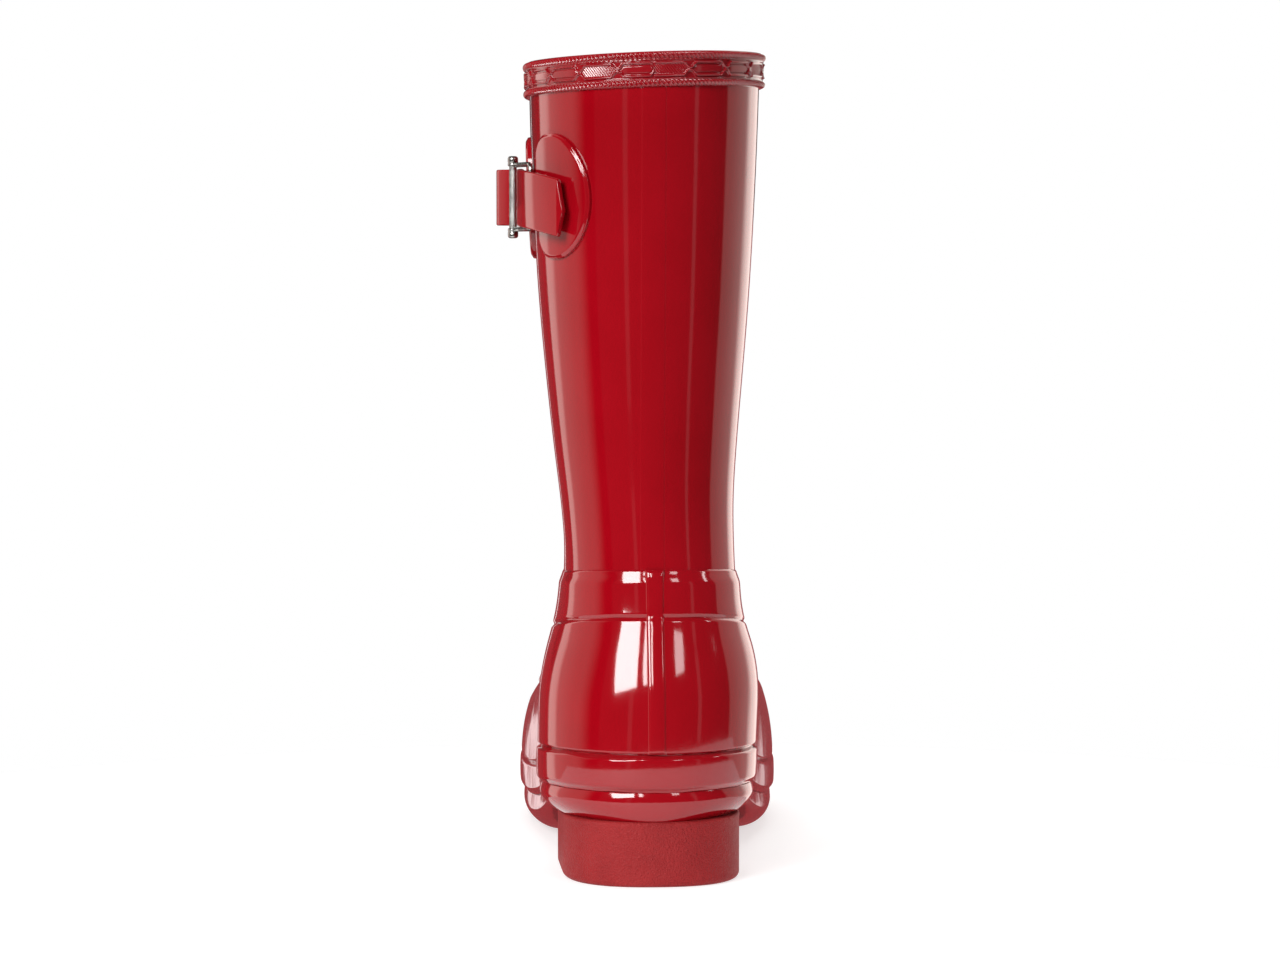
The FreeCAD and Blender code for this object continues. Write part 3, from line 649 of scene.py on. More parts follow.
# Overlays on the foot --------------------------------------------------------------------------------
def spoke_at(z, side, line):
    """How far round one side the surface at height z reaches y = line(z), counted from the back."""
    def behind_line(share):
        return at_ring(share if side < 0 else 1.0 - share, z)[..., 1] < line(z)

    return bisect(np.full(z.shape, 0.02), np.full(z.shape, 0.36), behind_line)


CREASE = 0.62
COUNTER_TOP = 95.0
COUNTER_LOW = 46.5


def make_collar():
    s = np.arange(360) / 360.0
    top = height_on(s, collar_top, 110.0) + 0.15 * wobble(s, 1.0)
    low = height_on(s, collar_low, 93.0) + 0.15 * wobble(s, 2.0)
    share = spaced(16, 17.0)[:, None]
    z = low + (top - low) * share
    points = at_ring(np.broadcast_to(s, z.shape), z)
    up = run_length(points, 0)
    from_top = up[-1:] - up
    top_share = 0.35 * soft_edge(from_top, 0.9) + 0.65 * soft_edge(from_top, 5.5)
    low_share = CREASE + (1.0 - CREASE) * soft_edge(up, 1.3)
    level = -SINK + (OVERLAY + SINK) * np.minimum(top_share, low_share)
    hoop("ankle_band", "ankle_collar", points, level)


def counter_front(z):
    """y of the counter's front edge at height z."""
    return 60.0 + 36.0 * np.sqrt(np.clip(1.0 - ((z - 34.0) / 60.0) ** 2, 0.0, 1.0))


def make_counter():
    """The heel counter, from the outer front edge round the back to the inner one."""
    share_down = spaced(54, 45.0)
    share_round = spaced(170, 220.0)
    height = COUNTER_TOP - (COUNTER_TOP - COUNTER_LOW) * share_down
    reached = np.minimum(height, COUNTER_TOP - 3.0)
    outer_end = spoke_at(reached, -1, counter_front)
    inner_end = spoke_at(reached, 1, counter_front)
    s = outer_end[:, None] * (1.0 - share_round) - inner_end[:, None] * share_round
    top = height_on(s[0], collar_low, 93.0)
    low = height_on(s[-1], lambda y: foxing_top(y) - 0.6, 45.0)
    z = top + (low - top) * share_down[:, None]
    points = at_ring(s, z)
    down = run_length(points, 0)
    across = run_length(points, 1)
    near = np.minimum(down[-1:] - down, np.minimum(across, across[:, -1:] - across))
    top_share = CREASE + (1.0 - CREASE) * soft_edge(down, 1.5)
    level = -SINK + (OVERLAY + SINK) * np.minimum(soft_edge(near, 1.3), top_share)
    plate("heel_counter_skin", "heel_counter", points, level)


def spoke_at_x(z, x):
    """The spoke near the back of the boot whose point at height z lies at x."""
    def not_yet_there(s):
        return at_ring(s, z)[..., 0] > x

    return bisect(np.full(np.shape(z), -0.12), np.full(np.shape(z), 0.12), not_yet_there)


def back_strip(name, node_name, middle, half, low, high, thickness, under, dips, count):
    """A narrow, slightly rounded strip up the back of the boot, over the parts that lie under it."""
    share_down = spaced(count, high - low)[:, None]
    share_round = spaced(13, 2.0 * half, (0.0, 0.2, 0.45, 0.8, 1.2))[None, :]
    z, x = np.broadcast_arrays(high + (low - high) * share_down, middle + half * (1.0 - 2.0 * share_round))
    points = at_ring(spoke_at_x(z, x), z)
    near = border_distance(points)
    base = np.full_like(z, under)
    for height, depth, width in dips:
        base = base - depth * np.exp(-((z - height) / width) ** 2)
    crown = 1.0 - (2.0 * share_round - 1.0) ** 2
    level = base - SINK + (thickness * (0.55 + 0.45 * crown) + SINK) * soft_edge(near, 0.9)
    plate(name, node_name, points, level, base)


def make_back_strips():
    dips = [(95.7, 0.45, 1.6), (113.0, 0.8, 2.2)]
    back_strip("back_strip", "back_stay", -0.3, 3.35, 47.7, 112.3, 0.68, OVERLAY, dips, 90)
    back_strip("leg_strip", "leg_stay", -1.2, 5.1, 108.0, 283.6, 0.16, 0.0, [], 60)


def make_foxing():
    s = np.arange(480) / 480.0
    top = height_on(s, foxing_top, 45.0) + 0.35 * wobble(s, 3.0)
    low = height_on(s, sole_line, 30.0) + 0.25 * wobble(s, 5.0)
    z = low + (top - low) * spaced(12, 13.0)[:, None]
    points = at_ring(np.broadcast_to(s, z.shape), z)
    down = run_length(points, 0)
    near_low = soft_edge(down, 2.2)
    near_top = soft_edge(down[-1:] - down, 2.0)
    belly = 0.25 * np.sin(math.pi * np.clip(down / down[-1:], 0.0, 1.0))
    level = -SINK + (FOXING - 0.25 + SINK) * np.minimum(0.35 + 0.65 * near_low, near_top) + belly
    hoop("foxing_band", "foxing_strip", points, level)


# Sole -----------------------------------------------------------------------------------------------
LAND = 6.5
RECESS = 2.2
TREAD_WINDOW = (126.0, 134.0, 262.0, 269.0)


def sole_profile(roundness, bulge, slant):
    """Offset and height share of the sole's rolled edge, from the crease down to the underside."""
    rows = []
    for t in np.linspace(0.0, 1.0, 8)[:-1]:
        rows.append((bulge * math.sin(0.5 * math.pi * t), 1.0 - 0.36 * t))
    for t in np.linspace(0.0, 1.0, 17):
        angle = 0.5 * math.pi * t
        round_in = 1.0 - math.cos(angle)
        straight_in = t ** 1.5
        inward = round_in * (1.0 - slant) + straight_in * slant
        drop = math.sin(angle) * (1.0 - slant) + t * slant
        rows.append((bulge - roundness * inward, 0.64 * (1.0 - drop)))
    return rows


def make_outsole():
    """The sole with its rolled edge; gives back its ground line and the outward directions along it."""
    s = np.arange(420) / 420.0
    edge = at_ring(s, height_on(s, sole_line, 30.0))
    flat = level_outward(edge)
    origin, _ = ring_rays(s, edge[:, 2])
    heel_share = 1.0 - smooth_step(70.0, 100.0, edge[:, 1])
    height = edge[:, 2] - tread_line(edge[:, 1])
    roundness = (1.8 + 4.3 * flat[:, 0] ** 2) * heel_share + 11.5 * (1.0 - heel_share)
    bulge = 0.85 * heel_share + 0.5 * (1.0 - heel_share)
    rows = []
    for share in (0.0, 0.4, 0.8):
        ring = origin + (edge - flat * 3.0 - origin) * share
        ring[:, 2] = sole_line(ring[:, 1]) - 0.1
        rows.append(ring)
    rows.append(edge - flat * 3.0 + np.array([0.0, 0.0, -0.1]))
    for offset, share in sole_profile(roundness, bulge, 0.75 * heel_share):
        ring = edge + flat * (offset + 0.12 * wobble(s, 7.0))[:, None]
        ring[:, 2] = tread_line(edge[:, 1]) + height * share + 0.18 * wobble(s, 9.0) * share
        rows.append(ring)
    foot = rows[-1]
    for inset, lift in ((0.5, 0.0), (2.5, 0.0), (LAND - 1.2, 0.0), (LAND - 0.8, 0.1), (LAND, 1.0)):
        ring = foot - flat * inset
        ring[:, 2] = tread_line(ring[:, 1]) + lift * RECESS * tread_window(ring[:, 1])
        rows.append(ring)
    rim = rows[-1]
    origin = origin * np.array([1.0, 1.0, 0.0])
    for share in (0.9, 0.7, 0.5, 0.3, 0.15, 0.0):
        ring = origin + (rim - origin) * share
        ring[:, 2] = tread_line(ring[:, 1]) + RECESS * tread_window(ring[:, 1])
        rows.append(ring)
    disc("outsole_roll", np.array(rows), GLOSS, "gloss_rubber", "outsole")
    return foot, flat


def tread_window(y):
    a, b, c, d = TREAD_WINDOW
    return smooth_step(a, b, y) * (1.0 - smooth_step(c, d, y))


def chevron(y, width, left, right, rise, floor, lug_height):
    """A V-shaped tread bar across the sole, with bevelled sides, as loops from end to end."""
    loops = []
    middle = 0.5 * (left + right)
    half = 0.5 * (right - left)
    for t in (-1.0, -0.985, -0.6, -0.3, 0.0, 0.3, 0.6, 0.985, 1.0):
        x = middle + half * t
        at = y + rise * (1.0 - abs(t))
        share = 0.55 if abs(t) == 1.0 else 1.0
        ground = floor(at)
        loops.append([(x, at - 0.5 * width, ground + lug_height + 0.3),
                      (x, at - 0.5 * width + 0.1, ground + (1.0 - share) * lug_height + 0.5),
                      (x, at - 0.5 * width + 0.55, ground + (1.0 - share) * lug_height),
                      (x, at + 0.5 * width - 0.55, ground + (1.0 - share) * lug_height),
                      (x, at + 0.5 * width - 0.1, ground + (1.0 - share) * lug_height + 0.5),
                      (x, at + 0.5 * width, ground + lug_height + 0.3)])
    return loops


def lofted(loops, first=0):
    """Vertices and faces through loops of equal length, with both ends closed."""
    count = len(loops[0])
    vertices = [p for loop in loops for p in loop]
    faces = grid_faces(len(loops), count, first, wrap_columns=True)
    faces.append(tuple(first + i for i in range(count))[::-1])
    faces.append(tuple(first + (len(loops) - 1) * count + i for i in range(count)))
    return vertices, faces


def tread_bars(name, bars, material, node_name, slot):
    vertices, faces = [], []
    for loops in bars:
        more, its_faces = lofted(loops, len(vertices))
        vertices += more
        faces += its_faces
    piece = new_object(name, np.array(vertices), faces, material, smooth=False)
    settle(piece, "boot", slot, node_name)


def make_sole_tread(foot, flat):
    inner_edge = foot - flat * (LAND + 1.4)
    half = len(inner_edge) // 2
    outer_side_run = inner_edge[:half + 1]
    inner_side_run = inner_edge[half:][::-1]
    bars = []
    for y in np.arange(136.0, 259.0, 6.4):
        left = np.interp(y, outer_side_run[:, 1], outer_side_run[:, 0])
        right = np.interp(y, inner_side_run[:, 1], inner_side_run[:, 0])
        bars.append(chevron(y, 3.4, left, right, 4.5, tread_line, RECESS))
    tread_bars("forefoot_tread", bars, GLOSS, "outsole", "gloss_rubber")


HEEL_MIDDLE = (0.0, 38.0)
HEEL_REAR_POWER = 2.43
HEEL_BREAST_POWER = 11.0


HEEL_BLOCK_REAR = 2.0
HEEL_TREAD_PITCH = 6.4
HEEL_TREAD_BAR = 3.4


def heel_outline(angle, inset):
    """The heel block's D shape in plan: angle 0 points at its rear."""
    across = np.sin(angle)
    along = np.cos(angle)
    rear_half = HEEL_MIDDLE[1] - HEEL_BLOCK_REAR
    front_half = HEEL_BLOCK_REAR + HEEL_BLOCK_LENGTH - HEEL_MIDDLE[1]
    length = np.where(along > 0, rear_half, front_half) - inset
    width = HEEL_BLOCK_HALF - inset
    power = np.where(along > 0, HEEL_REAR_POWER, HEEL_BREAST_POWER)
    radius = (np.abs(across / width) ** power + np.abs(along / length) ** power) ** (-1.0 / power)
    return HEEL_MIDDLE[0] - radius * across, HEEL_MIDDLE[1] - radius * along


def make_heel():
    angle = np.arange(320) / 320.0 * 2.0 * math.pi
    rows = []
    profile = [(20.0, HEEL_BLOCK_HEIGHT), (2.0, HEEL_BLOCK_HEIGHT)]
    for t in np.linspace(0.0, 1.0, 6):
        turn = 0.5 * math.pi * t
        profile.append((1.0 - math.sin(turn), HEEL_BLOCK_HEIGHT - 1.0 + math.cos(turn)))
    profile += [(0.1, z) for z in np.linspace(21.5, 2.2, 16)]
    for t in np.linspace(0.0, 1.0, 7):
        turn = 0.5 * math.pi * t
        profile.append((0.1 + 2.0 * (1.0 - math.cos(turn)), 2.0 * (1.0 - math.sin(turn))))
    profile += [(4.0, 0.0), (6.0, 0.0), (6.5, 0.2), (7.4, RECESS), (15.0, RECESS), (25.0, RECESS)]
    for inset, z in profile:
        x, y = heel_outline(angle, inset)
        rows.append(np.stack([x, y, np.full_like(x, z)], -1))
    centre = np.array([HEEL_MIDDLE[0], HEEL_MIDDLE[1], 0.0])
    top = np.broadcast_to(centre + np.array([0.0, 0.0, HEEL_BLOCK_HEIGHT]), rows[0].shape)
    low = np.broadcast_to(centre + np.array([0.0, 0.0, RECESS]), rows[0].shape)
    disc("heel_lift", np.array([top] + rows + [low]), MATTE, "matte_rubber", "heel_block")


def make_heel_tread():
    bars = []
    for y in np.arange(14.0, 66.0, HEEL_TREAD_PITCH):
        share = min(1.0, abs(y + 2.0 - HEEL_MIDDLE[1]) / 36.0) if y < HEEL_MIDDLE[1] else 0.0
        half = (HEEL_BLOCK_HALF - 9.0) * (1.0 - share ** HEEL_REAR_POWER) ** (1.0 / HEEL_REAR_POWER)
        left = HEEL_MIDDLE[0] - half
        right = HEEL_MIDDLE[0] + half
        bars.append(chevron(y, HEEL_TREAD_BAR, left, right, 4.0, np.zeros_like, RECESS))
    tread_bars("heel_tread_bars", bars, MATTE, "heel_block", "matte_rubber")


# Overlays on the front of the foot ---------------------------------------------------------------------
def bevelled(points):
    """The level of an even overlay with soft borders."""
    return -SINK + (OVERLAY + SINK) * soft_edge(border_distance(points), 1.6)


def fan_plate(name, node_name, lows, highs, reach, count):
    """An overlay that arches over the foot: each row lies in a plane through a low and a high point."""
    arch = math.radians(reach) * (2.0 * spaced(count, 150.0)[None, :, None] - 1.0)
    up = highs - lows
    up = up / np.linalg.norm(up, axis=-1, keepdims=True)
    up = np.stack([np.zeros(len(up)), up[:, 0], up[:, 1]], -1)[:, None, :]
    origin = np.stack([foot_middle(lows[:, 0]), lows[:, 0], lows[:, 1]], -1)[:, None, :]
    sideways = np.array([1.0, 0.0, 0.0])
    direction = np.sin(arch) * sideways + np.cos(arch) * up
    points = cast(np.broadcast_to(origin, direction.shape), direction)
    plate(name, node_name, points, bevelled(points))


TOE_FAN_ROOT = (222.0, 27.0)
TOE_FAN_LOW = -12.0
TOE_FAN_SWEEP = 106.0
SADDLE_LOW = ((122.0, 88.0), (150.0, 66.0), (205.0, 50.0))
SADDLE_TOP = ((150.0, 117.6), (170.0, 121.0), (205.0, 121.0))
PANEL_TOP = ((88.0, 76.0), (112.0, 71.0), (150.0, 60.0), (205.0, 46.0), (214.0, 44.0))
PANEL_REAR = 100.0
PANEL_FRONT = 213.0


def along_line(line, share):
    """Points (y, z) on a bent line, spread evenly in y from its first corner to its last."""
    corners = np.array(line)
    y = corners[0, 0] + (corners[-1, 0] - corners[0, 0]) * share
    return np.stack([y, np.interp(y, corners[:, 0], corners[:, 1])], -1)


def make_toe_cap():
    share = spaced(60, 90.0)
    turn = np.radians(TOE_FAN_LOW + TOE_FAN_SWEEP * share)
    lows = np.broadcast_to(np.array(TOE_FAN_ROOT), (len(turn), 2))
    highs = lows + np.stack([np.cos(turn), np.sin(turn)], -1)
    fan_plate("toe_bumper", "toe_cap", lows, highs, 86.0, 130)


def make_saddle():
    share = spaced(70, 75.0)
    lows = along_line(SADDLE_LOW, share)
    highs = along_line(SADDLE_TOP, share)
    fan_plate("instep_piece", "instep_saddle", lows, highs, 88.0, 120)


def side_point(side, y, z):
    """A point of the surface straight out to one side from the middle plane."""
    origin = np.stack([centre_x(y, z), y, z], -1)
    return cast(origin, np.broadcast_to(np.array([float(side), 0.0, 0.0]), origin.shape))


def make_side_panels():
    columns = spaced(90, 112.0)[None, :]
    rows = spaced(36, 45.0)[:, None]
    panels = ((-1, "outer_panel", "outer_side_panel"), (1, "inner_panel", "inner_side_panel"))
    rear = PANEL_REAR - 11.0 * (1.0 - rows)
    y = rear + (PANEL_FRONT - rear) * columns
    top = np.interp(y, *np.array(PANEL_TOP).T)
    low = foxing_top(y) - 0.7
    z = top + (low - top) * rows
    for side, name, node_name in panels:
        points = side_point(side, y, z)
        plate(name, node_name, points, bevelled(points))


# Top band --------------------------------------------------------------------------------------------
ROPE_PITCH = 1.6
RELIEF = 1.35
LINK_LENGTH = 14.2


def ridge(v, centre, half):
    """A rounded ridge, 1 on its centre line and 0 beyond half its width."""
    t = np.clip(np.abs(v - centre) / half, 0.0, 1.0)
    return np.sqrt(1.0 - t * t)


def band_relief(u, v):
    """Height of the moulded pattern, 0 to 1: two ropes with a chain of long six-sided links between."""
    height = np.zeros_like(v)
    for centre in (1.35, BAND_HEIGHT - 1.45):
        strand = 0.5 + 0.5 * np.sin(2.0 * math.pi * (u - 0.8 * (v - centre)) / ROPE_PITCH)
        height = np.maximum(height, ridge(v, centre, 1.2) * (0.30 + 0.70 * strand))
    for centre in (2.85, BAND_HEIGHT - 2.95):
        height = np.maximum(height, 0.40 * ridge(v, centre, 0.28))
    turn = 0.12 * np.sin(u / 31.0) + 0.07 * np.sin(u / 12.7 + 1.0)
    along = np.mod(u / LINK_LENGTH + turn, 1.0)
    to_pinch = np.minimum(along, 1.0 - along) * LINK_LENGTH
    spread = 0.45 + 1.85 * smooth_step(0.2, 2.6, to_pinch)
    from_middle = np.abs(v - 0.5 * BAND_HEIGHT)
    height = np.maximum(height, 0.80 * ridge(from_middle, spread, 0.46))
    number = np.floor(u / LINK_LENGTH + turn)
    hatched = np.mod(number * 7.0 + 3.0, 5.0) < 1.5
    hatch = 0.26 * np.abs(np.sin(math.pi * (u - 0.8 * v) / 0.95))
    filling = 0.30 * soft_edge(spread - 0.75 - from_middle, 0.5)
    inside = (from_middle < spread - 0.35) & hatched
    return np.where(inside, np.maximum(height, hatch), np.maximum(height, filling))


def make_band():
    count = 1480
    s = np.arange(count) / count
    rim = rim_height(at_ring(s, 292.0))
    around = at_ring(s, rim - 6.0)
    step = np.linalg.norm(np.roll(around, -1, axis=0) - around, axis=-1)
    u = np.concatenate([[0.0], np.cumsum(step)[:-1]])
    links = round(np.sum(step) / LINK_LENGTH)
    u = u * links * LINK_LENGTH / np.sum(step)
    v = np.linspace(0.0, BAND_HEIGHT, 60)[:, None]
    z = rim - BAND_HEIGHT + v
    points = at_ring(np.broadcast_to(s, z.shape), z)
    normal = outward(points)
    v_grid = np.broadcast_to(v, z.shape)
    edge = np.minimum(v_grid, BAND_HEIGHT - v_grid)
    body = (BAND_THICKNESS - RELIEF) * (0.45 + 0.55 * soft_edge(edge, 0.5))
    level = body + RELIEF * band_relief(np.broadcast_to(u, z.shape), v_grid) * soft_edge(edge, 0.35)
    outer = points + normal * level[..., None]
    top_row = at_ring(s, rim)
    top_normal = outward(top_row)
    lips = [top_row + top_normal * 0.2, top_row - top_normal * 0.35 + np.array([0.0, 0.0, -0.15])]
    inner_rows = [points[-1] - normal[-1] * 0.4 + np.array([0.0, 0.0, -1.2]), points[0] - normal[0] * 0.4,
                  points[0] + normal[0] * 0.1]
    loops = np.concatenate([outer, np.array(lips), np.array(inner_rows)])
    piece = ring_tube("rim_band", loops, BAND)
    settle(piece, "boot", "gloss_rubber", "top_band")


# Patches, straps and buckle --------------------------------------------------------------------------
def level_point(y, away):
    """A point away from the leg's outer side in plan, at the strap's height."""
    rear = float(leg_back(STRAP_HEIGHT)) + REAR_FOCUS
    centre = float(leg_middle(STRAP_HEIGHT))
    wall = side_point(-1, np.array([float(y)]), np.array([STRAP_HEIGHT]))[0]
    origin = np.array([centre, max(float(y), rear), STRAP_HEIGHT])
    direction = np.array([-1.0, 0.0, 0.0])
    if y < rear:
        direction = np.array([wall[0] - centre, y - rear, 0.0])
        direction = direction / np.linalg.norm(direction)
    foot = cast(origin[None], direction[None])[0]
    return foot + level_outward(foot[None])[0] * away


def plan_path(route, count):
    """Points and tangents along a smooth curve in plan through the points of a route."""
    knots = np.array([level_point(y, away) for y, away in route])
    at = np.concatenate([[0.0], np.cumsum(np.linalg.norm(np.diff(knots, axis=0), axis=1))])
    curve_x = spline(list(zip(at, knots[:, 0])))
    curve_y = spline(list(zip(at, knots[:, 1])))
    t = np.linspace(0.0, at[-1], count)
    points = np.stack([curve_x(t), curve_y(t), np.zeros_like(t)], -1)
    tangent = np.gradient(points, t, axis=0)
    return points, tangent / np.linalg.norm(tangent, axis=-1, keepdims=True), t


def strip_section(half_thickness, up, down, radius, steps=5):
    """A flat strip's rounded cross-section, as (across, height) pairs."""
    radius = min(radius, half_thickness * 0.98, 0.49 * (up + down))
    section = []
    for sign_a, sign_z, start in ((1, 1, 0.0), (-1, 1, 0.5), (-1, -1, 1.0), (1, -1, 1.5)):
        for i in range(steps):
            turn = math.pi * (start + 0.5 * i / (steps - 1))
            edge = up if sign_z > 0 else down
            section.append((sign_a * (half_thickness - radius) + radius * math.cos(turn),
                            sign_z * (edge - radius) + radius * math.sin(turn)))
        if sign_a * sign_z < 0:
            continue
        last = section[-1]
        step = sign_a * 0.5 * (half_thickness - radius)
        section += [(last[0] - step * k, last[1]) for k in (1, 2, 3)]
    return section


def strip(name, points, tangent, heights, thickness, radius, material):
    """A flat strip that stands on edge along a plan path; heights gives (up, down) at each point."""
    loops = []
    for p, along, (up, down) in zip(points, tangent, heights):
        across = np.array([along[1], -along[0], 0.0])
        loops.append([p + across * a + np.array([0.0, 0.0, STRAP_HEIGHT + h])
                      for a, h in strip_section(0.5 * thickness, up, down, radius)])
    return new_object(name, *closed_loft(loops), material)


def closed_loft(loops):
    """Loops joined end to end, with a fan of faces on a middle point at each end."""
    loops = np.array(loops, float)
    count = loops.shape[1]
    faces = grid_faces(len(loops), count, wrap_columns=True)
    vertices = np.concatenate([loops.reshape(-1, 3), loops[:1].mean(1), loops[-1:].mean(1)])
    first = len(vertices) - 2
    last_row = (len(loops) - 1) * count
    for i in range(count):
        faces.append((first, (i + 1) % count, i))
        faces.append((first + 1, last_row + i, last_row + (i + 1) % count))
    return vertices, faces


def make_straps():
    half = 0.5 * STRAP_WIDTH
    points, tangent, _ = plan_path(STRAP_FIXED_ROUTE, 150)
    heights = [(half, half)] * len(points)
    fixed = strip("strap_band", points, tangent, heights, STRAP_THICKNESS, 0.65, GLOSS)
    settle(fixed, "boot", "gloss_rubber", "strap")
    points, tangent, t = plan_path(STRAP_END_ROUTE, 160)
    left = t[-1] - t
    share = np.clip(left / TIP_LENGTH, 0.0, 1.0)
    share = 0.04 + 0.96 * (share - 0.06 * np.sin(math.pi * share))
    droop = TIP_DROOP * (t / t[-1]) ** 2
    up = -TIP_DROP + (half + TIP_DROP) * share - droop
    down = TIP_DROP + (half - TIP_DROP) * share + droop
    free = strip("strap_tip", points, tangent, list(zip(up, down)), STRAP_THICKNESS, 0.65, GLOSS)
    settle(free, "strap_tongue", "gloss_rubber", "strap_end")


def patch_surface(middle_y, u, v):
    """Points of the leg u along and v up from the middle of a patch, pushed straight out on to it."""
    foot = level_point(middle_y, 0.0)
    flat = level_outward(foot[None])[0]
    forward = np.array([flat[1], -flat[0], 0.0])
    start = foot - flat * 12.0 + forward * u[..., None] + np.array([0.0, 0.0, 1.0]) * v[..., None]
    return cast(start, np.broadcast_to(flat, start.shape), 26.0)


def patch_outline(angle, straight, notch):
    """A rounded D: an ellipse on one side, a squarer curve on the other with a notch for the tab."""
    across = np.cos(angle) * straight
    power = np.where(across > 0, 3.2, 2.0)
    radius = (np.abs(np.cos(angle)) ** power + np.abs(np.sin(angle)) ** power) ** (-1.0 / power)
    from_front = np.arccos(np.clip(across, -1.0, 1.0))
    return radius * (1.0 - notch * (1.0 - smooth_step(0.36, 0.52, from_front)))


def make_patch(name, node_name, middle_y, round_half, straight_half, straight, notch):
    """A round-backed patch on the leg; straight is 1 if its squarer side faces the toe, else -1."""
    angle = np.arange(240) / 240.0 * 2.0 * math.pi
    reach = patch_outline(angle, straight, notch)
    half = np.where(np.cos(angle) * straight > 0, straight_half, round_half)
    edge = np.array([1.4, 1.15, 0.95, 0.8, 0.65, 0.5, 0.38, 0.28, 0.2, 0.13, 0.06, 0.0]) / 18.0
    share = np.concatenate([np.linspace(0.0, 0.90, 16), 1.0 - edge])
    u = share[:, None] * reach * np.cos(angle) * half
    v = share[:, None] * reach * np.sin(angle) * PATCH_HALF_HEIGHT
    points = patch_surface(middle_y, u, v)
    run = run_length(points, 0)
    near = run[-1:] - run
    rise = 0.72 * soft_edge(near, 0.3) + 0.28 * soft_edge(near - 0.3, 1.3)
    level = -SINK + (PATCH + SINK) * rise
    outer, inner = layer(points, level)
    disc(name, np.concatenate([outer, inner[::-1]]), GLOSS, "gloss_rubber", node_name)


TAB_HALF = 8.0
TAB_THICKNESS = 1.3
TAB_LOOP = WIRE_RADIUS + 0.2 + 0.5 * TAB_THICKNESS


def make_tab():
    """The tab that leaves the rear patch, wraps round the buckle's wire and comes back."""
    root_out = level_point(27.0, PATCH + 0.1)
    root_in = level_point(31.0, 0.9)
    wire = np.array([REAR_BAR[0], REAR_BAR[1], 0.0])
    start_out = root_out * np.array([1.0, 1.0, 0.0])
    toward = wire - start_out
    toward = toward / np.linalg.norm(toward)
    out = np.array([toward[1], -toward[0], 0.0])
    if np.dot(out, start_out - np.array([0.0, start_out[1], 0.0])) < 0:
        out = -out
    path = [start_out, start_out + toward * 4.0]
    for i in range(19):
        turn = math.pi * i / 18.0
        path.append(wire + out * (TAB_LOOP * math.cos(turn)) + toward * (TAB_LOOP * math.sin(turn)))
    path.append(root_in * np.array([1.0, 1.0, 0.0]))
    path = np.array(path)
    tangent = np.gradient(path, axis=0)
    tangent = tangent / np.linalg.norm(tangent, axis=-1, keepdims=True)
    heights = [(TAB_HALF, TAB_HALF)] * len(path)
    piece = strip("patch_tab", path, tangent, heights, TAB_THICKNESS, 0.5, GLOSS)
    settle(piece, "boot", "gloss_rubber", "rear_patch")


def round_section(centre, side, other, radius, count=20):
    turn = np.arange(count) / count * 2.0 * math.pi
    return centre + radius * (np.cos(turn)[:, None] * side + np.sin(turn)[:, None] * other)


UP = np.array([0.0, 0.0, 1.0])
WIRE_BEND = 2.0
REAR_WIRE = np.array([REAR_BAR[0], REAR_BAR[1], STRAP_HEIGHT])
BAR_MIDDLE = np.array([FRONT_BAR[0], FRONT_BAR[1], STRAP_HEIGHT])
ARM = (BAR_MIDDLE - REAR_WIRE) / np.linalg.norm(BAR_MIDDLE - REAR_WIRE)
ASIDE = np.cross(UP, ARM)
CAP_PROFILE = [(0.2, 1.25), (0.05, 1.6), (0.0, 1.78), (0.35, CAP_RADIUS), (0.9, CAP_RADIUS), (1.05, 1.74),
               (1.25, 1.74), (1.4, CAP_RADIUS), (2.6, CAP_RADIUS), (3.1, 1.78), (3.45, 1.45), (3.6, 0.9)]


def buckle_part(name, loops):
    piece = new_object(name, *closed_loft(loops), METAL)
    settle(piece, "buckle", "metal", "buckle_frame")


def make_wire():
    """The wire: out along one arm, up through the tab's loop and back along the other arm."""
    path = [BAR_MIDDLE + UP * FRAME_HALF]
    tangents = [-ARM]
    corners = ((REAR_WIRE + UP * FRAME_HALF, -ARM, -UP), (REAR_WIRE - UP * FRAME_HALF, -UP, ARM))
    for corner, first, second in corners:
        middle = corner + (second - first) * WIRE_BEND
        for turn in np.linspace(0.0, 0.5 * math.pi, 9):
            path.append(middle + (first * math.sin(turn) - second * math.cos(turn)) * WIRE_BEND)
            tangents.append(first * math.cos(turn) + second * math.sin(turn))
    path.append(BAR_MIDDLE - UP * FRAME_HALF)
    tangents.append(ARM)
    loops = [round_section(p, ASIDE, np.cross(t, ASIDE), WIRE_RADIUS) for p, t in zip(path, tangents)]
    buckle_part("buckle_wire", loops)


def make_bar():
    """The upright bar with its knurl, between two turned end caps."""
    half = 0.5 * BAR_LENGTH - CAP_LENGTH
    count = 56
    turn = np.arange(count) / count * 2.0 * math.pi
    loops = []
    for z in np.linspace(-half, half, 190):
        knurl = np.abs(np.sin(7.0 * turn + 3.1 * z)) * np.abs(np.sin(7.0 * turn - 3.1 * z))
        radius = BAR_RADIUS - 0.12 + 0.26 * knurl
        circle = np.stack([np.cos(turn), np.sin(turn), np.zeros(count)], -1) * radius[:, None]
        loops.append(BAR_MIDDLE + UP * z + circle)
    buckle_part("buckle_bar", loops)
    for side, name in ((1.0, "buckle_cap_top"), (-1.0, "buckle_cap_low")):
        places = [(BAR_MIDDLE + UP * side * (half + h), r) for h, r in CAP_PROFILE]
        buckle_part(name, [round_section(place, ASIDE, ARM, r, 40) for place, r in places])


def dress_hidden_nodes():
    """Inner parts keep their CAD shape and take a finish of their own."""
    finishes = {"insole_board": BOARD, "heel_stiffener": BOARD, "toe_puff": BOARD, "bottom_filler": CORK}
    for name, material in finishes.items():
        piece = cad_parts[name]
        piece.data.materials.clear()
        piece.data.materials.append(material)


